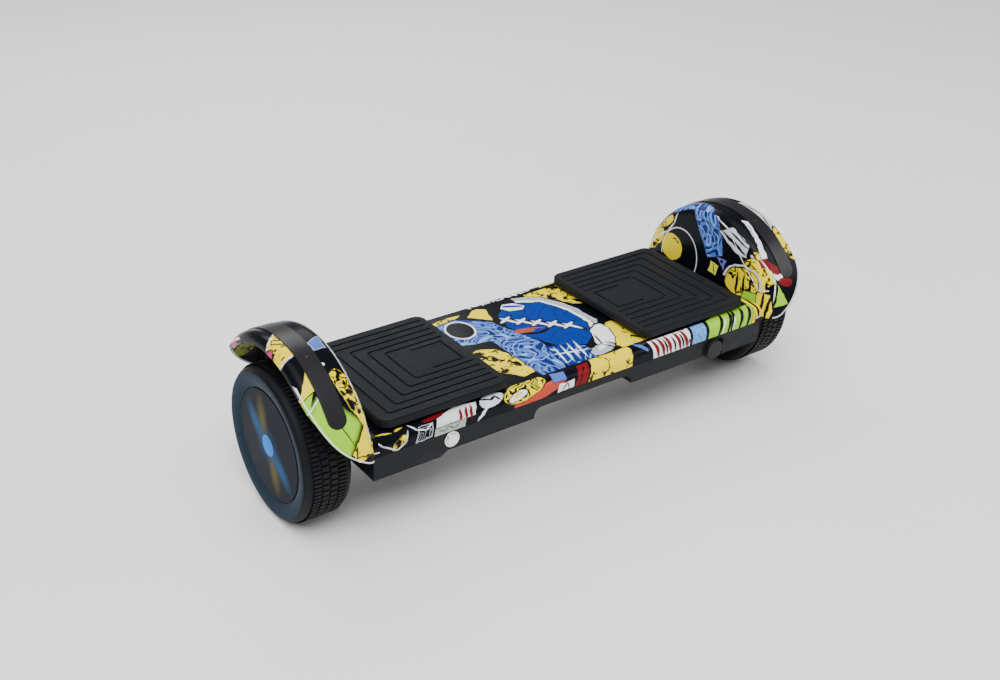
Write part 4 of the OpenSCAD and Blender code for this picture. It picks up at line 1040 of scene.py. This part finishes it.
def crest_line(art, c):
    """White line along the rounded crest over the deck."""
    inset, half, front, rear = 5.5, 0.6, 40, 300
    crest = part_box("right_tyre")[0].x / MM - inset
    left, right = crest - half, crest + half
    art.lay(art.polygon([(left, front), (right, front), (right, rear), (left, rear)]), c.white)


def housings():
    """The lower housing, the bumper strips and the status lights let into them."""
    dress(finished_copy("bottom_shell", sizes().shell_edge), material_for("housing_black"))
    for side in SIDES:
        dress(finished_copy(side + "_fender_strip", sizes().metal_edge), material_for("strip_black"))
        strip_light(side)


def strip_light(side):
    """Small status light let into the front end of a bumper strip."""
    radius, depth, sink = 0.0011, 0.0012, 0.00045
    rim, dish, edge = 0.0003, 0.0002, 0.0001
    low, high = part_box(side + "_fender_strip")
    turn = radians(71)
    reach = high.z - AXLE_Z
    place = Vector(((low.x + high.x) / 2, -reach * cos(turn), AXLE_Z + reach * sin(turn)))
    deselect_all()
    bpy.ops.mesh.primitive_cylinder_add(vertices=24, radius=radius, depth=depth, location=(0, 0, 0))
    piece = bpy.context.active_object
    select_faces(piece, lambda centre, normal: normal.z > 0.9)
    bpy.ops.mesh.inset(thickness=rim)
    bpy.ops.transform.translate(value=(0, 0, -dish))
    bpy.ops.object.mode_set(mode="OBJECT")
    apply_bevel(piece, edge)
    outward = Vector((0, -cos(turn), sin(turn)))
    piece.matrix_world = (Matrix.Translation(place - outward * sink)
                          @ Matrix.Rotation(pi / 2 - turn, 4, "X"))
    settle(piece, side + "_strip_light")
    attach(piece, "chassis")
    dress(piece, glow_finish())


def glow_finish():
    """Faint red plastic of the status lights."""
    found = bpy.data.materials.get("Status light")
    if found is None:
        found = Finish("Status light", (0.3, 0.035, 0.03), roughness=0.3, grain=0.2, bump=0.03, coat=0.3,
                       wear=((0.5, 0.3, 0.3), 0.2)).material
    return found


def foot_mats():
    """The ribbed rubber mats and the trays they sit on."""
    for side in SIDES:
        dress(finished_copy(side + "_foot_mat", sizes().mat_edge, smooth=40), material_for("mat_rubber"))
        dress(finished_copy(side + "_pedal_plate", sizes().mat_edge), material_for("pedal_black"))


def tyre_carcass(middle, width, radius):
    """The rubber ring under the tread, recessed for the hub cover on its outer face."""
    cover_gap, recess, shoulder_trim = 0.0004, 0.0044, 0.0005
    near, level = 0.0002, 0.0001
    core = (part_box("right_hub_cover")[1].z - AXLE_Z) + cover_gap
    deselect_all()
    bpy.ops.mesh.primitive_cylinder_add(vertices=144, radius=radius, depth=width, end_fill_type="NGON",
                                        location=(middle, 0, AXLE_Z), rotation=(0, pi / 2, 0))
    piece = bpy.context.active_object
    bpy.ops.object.transform_apply(location=True, rotation=True, scale=True)
    select_faces(piece, lambda centre, normal: normal.x > 0.9)
    bpy.ops.mesh.inset(thickness=radius - core)
    bpy.ops.mesh.extrude_region_move(TRANSFORM_OT_translate={"value": (-recess, 0, 0)})
    bpy.ops.mesh.inset(thickness=core - RIM_RADIUS)
    bpy.ops.mesh.delete(type="FACE")
    select_faces(piece, lambda centre, normal: normal.x < -0.9)
    bpy.ops.mesh.inset(thickness=radius - RIM_RADIUS)
    bpy.ops.mesh.delete(type="FACE")

    def reach(point):
        return ((point.z - AXLE_Z) ** 2 + point.y ** 2) ** 0.5

    def select_rings(on_ring):
        select_edges(piece, lambda a, b: on_ring(reach(a)) and on_ring(reach(b)) and abs(a.x - b.x) < level)

    select_rings(lambda distance: abs(distance - RIM_RADIUS) < near)
    bpy.ops.mesh.bridge_edge_loops()
    select_rings(lambda distance: distance > radius - near)
    bpy.ops.mesh.bevel(offset=SHOULDER - shoulder_trim, segments=7, profile=0.5, affect="EDGES")
    bpy.ops.object.mode_set(mode="OBJECT")
    return piece


def tread_block(x0, x1, length):
    """One block between two grooves, at the top of the tyre."""
    depth = sizes().tread_depth + BLOCK_ROOT
    top = AXLE_Z + TYRE_RADIUS - TYRE_SKIN
    deselect_all()
    bpy.ops.mesh.primitive_cube_add(size=1, location=((x0 + x1) / 2, 0, top - depth / 2))
    piece = bpy.context.active_object
    piece.scale = (x1 - x0, length, depth)
    bpy.ops.object.transform_apply(location=True, rotation=True, scale=True)
    apply_bevel(piece, BLOCK_EDGE, 1)
    return piece


def shoulder_rib(x0, outward, length):
    """One narrow rib that runs from the outer groove over the tyre's shoulder."""
    flat_end = outward * (TYRE_HIGH.x - TYRE_LOW.x) / 2 - outward * SHOULDER
    depth = sizes().tread_depth + RIB_ROOT
    top = AXLE_Z + TYRE_RADIUS - TYRE_SKIN
    deselect_all()
    bpy.ops.mesh.primitive_cube_add(size=1, location=((x0 + flat_end) / 2, 0, top - depth / 2))
    piece = bpy.context.active_object
    piece.scale = (abs(flat_end - x0), length, depth)
    bpy.ops.object.transform_apply(location=True, rotation=True, scale=True)
    select_faces(piece, lambda centre, normal: normal.x * outward > 0.9)
    bpy.ops.mesh.spin(steps=6, angle=radians(72) * outward, center=(flat_end, 0, top - SHOULDER),
                      axis=(0, 1, 0))
    bpy.ops.object.mode_set(mode="OBJECT")
    apply_bevel(piece, BLOCK_EDGE, 1)
    return piece


def tyres():
    """Treaded tyres: centre blocks, two side rows and narrow ribs over both shoulders."""
    # Width of each groove's half beside the middle, the block rows and the ribs, then the gaps round the tyre
    middle_gap, side_gap, rib_gap = 0.0007, 0.0008, 0.0009
    block_split, rib_split = 0.0017, 0.0016
    width = TYRE_HIGH.x - TYRE_LOW.x
    middle = (TYRE_HIGH.x + TYRE_LOW.x) / 2
    radius = TYRE_RADIUS - sizes().tread_depth
    parts = [tyre_carcass(middle, width, radius)]
    groove = width / 6
    count = sizes().tread_rows
    pitch = 2 * pi * TYRE_RADIUS / count
    rows = [(-groove + side_gap, -middle_gap, 0.0), (middle_gap, groove - side_gap, 0.5)]
    for x0, x1, shift in rows:
        block = tread_block(middle + x0, middle + x1, pitch - block_split)
        block.data.transform(Matrix.Translation((0, 0, AXLE_Z))
                             @ Matrix.Rotation(shift * 2 * pi / count, 4, "X")
                             @ Matrix.Translation((0, 0, -AXLE_Z)))
        ring_of(block, count)
        parts.append(block)
    ribs = round(count * 1.5)
    rib_pitch = 2 * pi * TYRE_RADIUS / ribs
    for outward in (-1, 1):
        rib = shoulder_rib(outward * (groove + rib_gap), outward, rib_pitch - rib_split)
        rib.data.transform(Matrix.Translation((middle, 0, 0)))
        ring_of(rib, ribs)
        parts.append(rib)
    right = joined("right_tyre_tread", *parts)
    select_only(right)
    bpy.ops.object.mode_set(mode="EDIT")
    bpy.ops.mesh.select_all(action="SELECT")
    bpy.ops.mesh.normals_make_consistent(inside=False)
    bpy.ops.object.mode_set(mode="OBJECT")
    bpy.ops.object.shade_smooth_by_angle(angle=radians(32))
    left = right.copy()
    left.data = right.data.copy()
    bpy.context.collection.objects.link(left)
    left.data.transform(Matrix.Rotation(pi, 4, "Z"))
    settle(left, "left_tyre_tread")
    for side, piece in (("left", left), ("right", right)):
        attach(piece, side + "_wheel")
        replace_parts(piece, side + "_tyre")
        dress(piece, material_for("tyre_rubber"))


def hubs():
    """Glossy hub covers and the smoked lenses in them."""
    for side in SIDES:
        dress(finished_copy(side + "_hub_cover", sizes().metal_edge, segments=3), material_for("hub_gloss"))
        dress(finished_copy(side + "_hub_lens", sizes().metal_edge, segments=3), material_for("hub_lens"))


def controls():
    """The power button in its bezel, and the charge socket under its hinged cap."""
    for node in ("button_bezel", "power_button", "charge_socket", "charge_cap"):
        dress(finished_copy(node, sizes().metal_edge, segments=3), material_for(slot_of(node)))


def inner_parts():
    """Finishes on every piece of the design that shows as it is."""
    shown = set()
    for piece in bpy.data.objects:
        shown.update(piece.get("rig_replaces", []))
    for name, node in frame["nodes"].items():
        if name not in shown:
            dress(node, material_for(slot_of(name)))


# ---------------------------------------------------------------- stage

def area_light(name, place, aim, size, power):
    light = bpy.data.lights.new(name, "AREA")
    light.shape = "RECTANGLE"
    light.size, light.size_y = size
    light.energy = power
    lamp = bpy.data.objects.new(name, light)
    bpy.context.scene.collection.objects.link(lamp)
    lamp.location = place
    lamp.rotation_euler = (Vector(aim) - Vector(place)).to_track_quat("-Z", "Y").to_euler()
    return lamp


def stage():
    """Pale floor, soft studio light and the camera."""
    floor_width, floor_drop, daylight = 160, 0.0002, 0.28
    scene = bpy.context.scene
    deselect_all()
    bpy.ops.mesh.primitive_plane_add(size=1, location=(0, 0, -floor_drop))
    floor = bpy.context.active_object
    floor.scale = (floor_width, floor_width, 1)
    bpy.ops.object.transform_apply(location=True, rotation=True, scale=True)
    floor.name = "floor"
    ground = Finish("Floor", (0.93, 0.93, 0.93), roughness=0.6, grain=0.2, grain_scale=60.0, bump=0.01,
                    shade=0.01,
                    rough_change=0.05)
    dress(floor, ground.material)
    world = scene.world or bpy.data.worlds.new("World")
    scene.world = world
    world.use_nodes = True
    world.node_tree.nodes["Background"].inputs["Color"].default_value = (1, 1, 1, 1)
    world.node_tree.nodes["Background"].inputs["Strength"].default_value = daylight
    lamps = [
        area_light("Key light", (-0.9, -0.9, 1.9), (0, 0, 0.1), (1.3, 1.3), 34),
        area_light("Fill light", (1.6, -1.1, 1.2), (0, 0, 0.1), (1.4, 1.0), 16),
        area_light("Back light", (0.2, 1.5, 1.4), (0, 0, 0.12), (1.6, 0.9), 16),
    ]
    ceiling = bpy.data.lights.new("Ceiling light", "SUN")
    ceiling.energy = 2.4
    ceiling.angle = radians(70)
    lamps.append(bpy.data.objects.new("Ceiling light", ceiling))
    scene.collection.objects.link(lamps[-1])
    lamps[-1].rotation_euler = (radians(12), radians(-14), 0)
    lens = bpy.data.cameras.new("Camera")
    lens.sensor_width = 36
    lens.lens = 48.418
    lens.clip_start = 0.01
    camera = bpy.data.objects.new("Camera", lens)
    scene.collection.objects.link(camera)
    # Turns of the camera, in radians
    yaw, pitch, roll = -0.636, 0.501, 0.028
    right = Vector((cos(yaw), sin(yaw), 0))
    ahead = Vector((-sin(yaw) * cos(pitch), cos(yaw) * cos(pitch), -sin(pitch)))
    up = right.cross(ahead)
    turned_right = right * cos(roll) + up * sin(roll)
    turned_up = up * cos(roll) - right * sin(roll)
    camera.matrix_world = Matrix((turned_right, turned_up, -ahead)).transposed().to_4x4()
    camera.location = (-0.799916, -1.025689, 0.815424)
    scene.camera = camera


# ---------------------------------------------------------------- operators

class PieceOperator:
    """Shared by the operators: runs one build step and stops with an error if a piece is missing."""
    bl_options = {"REGISTER", "UNDO"}
    build = None
    makes = ()

    def execute(self, context):
        if not hasattr(context.scene, "board_sizes"):
            raise RuntimeError("the board's settings aren't registered")
        type(self).build()
        missing = [name for name in self.makes if bpy.data.objects.get(name) is None]
        if missing:
            raise RuntimeError(f"{self.bl_label} didn't make {missing}")
        return {"FINISHED"}


class BOARD_OT_shells(PieceOperator, bpy.types.Operator):
    """Finish the printed deck, trim bars and fenders"""
    bl_idname = "board.shells"
    bl_label = "Printed shells"
    build = staticmethod(printed_shells)
    makes = ("top_shell_finished", "left_fender_finished", "right_fender_finished")


class BOARD_OT_housings(PieceOperator, bpy.types.Operator):
    """Finish the lower housing and the bumper strips"""
    bl_idname = "board.housings"
    bl_label = "Housing and strips"
    build = staticmethod(housings)
    makes = ("bottom_shell_finished", "left_strip_light", "right_strip_light")


class BOARD_OT_mats(PieceOperator, bpy.types.Operator):
    """Finish the rubber foot mats and their trays"""
    bl_idname = "board.mats"
    bl_label = "Foot mats"
    build = staticmethod(foot_mats)
    makes = ("left_foot_mat_finished", "right_foot_mat_finished")


class BOARD_OT_tyres(PieceOperator, bpy.types.Operator):
    """Model both treaded tyres"""
    bl_idname = "board.tyres"
    bl_label = "Tyres"
    build = staticmethod(tyres)
    makes = ("left_tyre_tread", "right_tyre_tread")


class BOARD_OT_hubs(PieceOperator, bpy.types.Operator):
    """Finish the hub covers and their lit lenses"""
    bl_idname = "board.hubs"
    bl_label = "Hubs"
    build = staticmethod(hubs)
    makes = ("left_hub_cover_finished", "left_hub_lens_finished", "right_hub_lens_finished")


class BOARD_OT_controls(PieceOperator, bpy.types.Operator):
    """Finish the power button and the charge socket with its cap"""
    bl_idname = "board.controls"
    bl_label = "Button and socket"
    build = staticmethod(controls)
    makes = ("power_button_finished", "charge_cap_finished")


class BOARD_OT_inner(PieceOperator, bpy.types.Operator):
    """Give every other piece of the design its finish"""
    bl_idname = "board.inner"
    bl_label = "Inner parts"
    build = staticmethod(inner_parts)


class BOARD_OT_stage(PieceOperator, bpy.types.Operator):
    """Set up the floor, the lights and the camera"""
    bl_idname = "board.stage"
    bl_label = "Studio stage"
    build = staticmethod(stage)
    makes = ("floor", "Camera")


class BOARD_PT_panel(bpy.types.Panel):
    """Lists the board's build steps and settings"""
    bl_idname = "BOARD_PT_panel"
    bl_label = "Balance board"
    bl_space_type = "VIEW_3D"
    bl_region_type = "UI"
    bl_category = "Board"

    def draw(self, context):
        column = self.layout.column(align=True)
        for operator in OPERATORS:
            column.operator(operator.bl_idname)
        for title, group in (("Sizes", context.scene.board_sizes),
                             ("Colours", context.scene.board_colours)):
            box = self.layout.box()
            box.label(text=title)
            for name in group.__annotations__:
                box.prop(group, name)


OPERATORS = (BOARD_OT_shells, BOARD_OT_housings, BOARD_OT_mats, BOARD_OT_tyres, BOARD_OT_hubs,
             BOARD_OT_controls,
             BOARD_OT_inner, BOARD_OT_stage)
CLASSES = (BoardSizes, BoardColours, *OPERATORS, BOARD_PT_panel)


def register():
    for entry in CLASSES:
        bpy.utils.register_class(entry)
    bpy.types.Scene.board_sizes = bpy.props.PointerProperty(type=BoardSizes)
    bpy.types.Scene.board_colours = bpy.props.PointerProperty(type=BoardColours)


def unregister():
    del bpy.types.Scene.board_colours
    del bpy.types.Scene.board_sizes
    for entry in reversed(CLASSES):
        bpy.utils.unregister_class(entry)


def main():
    register()
    bpy.ops.board.shells()
    bpy.ops.board.housings()
    bpy.ops.board.mats()
    bpy.ops.board.tyres()
    bpy.ops.board.hubs()
    bpy.ops.board.controls()
    bpy.ops.board.inner()
    bpy.ops.board.stage()


if __name__ == "__main__":
    main()
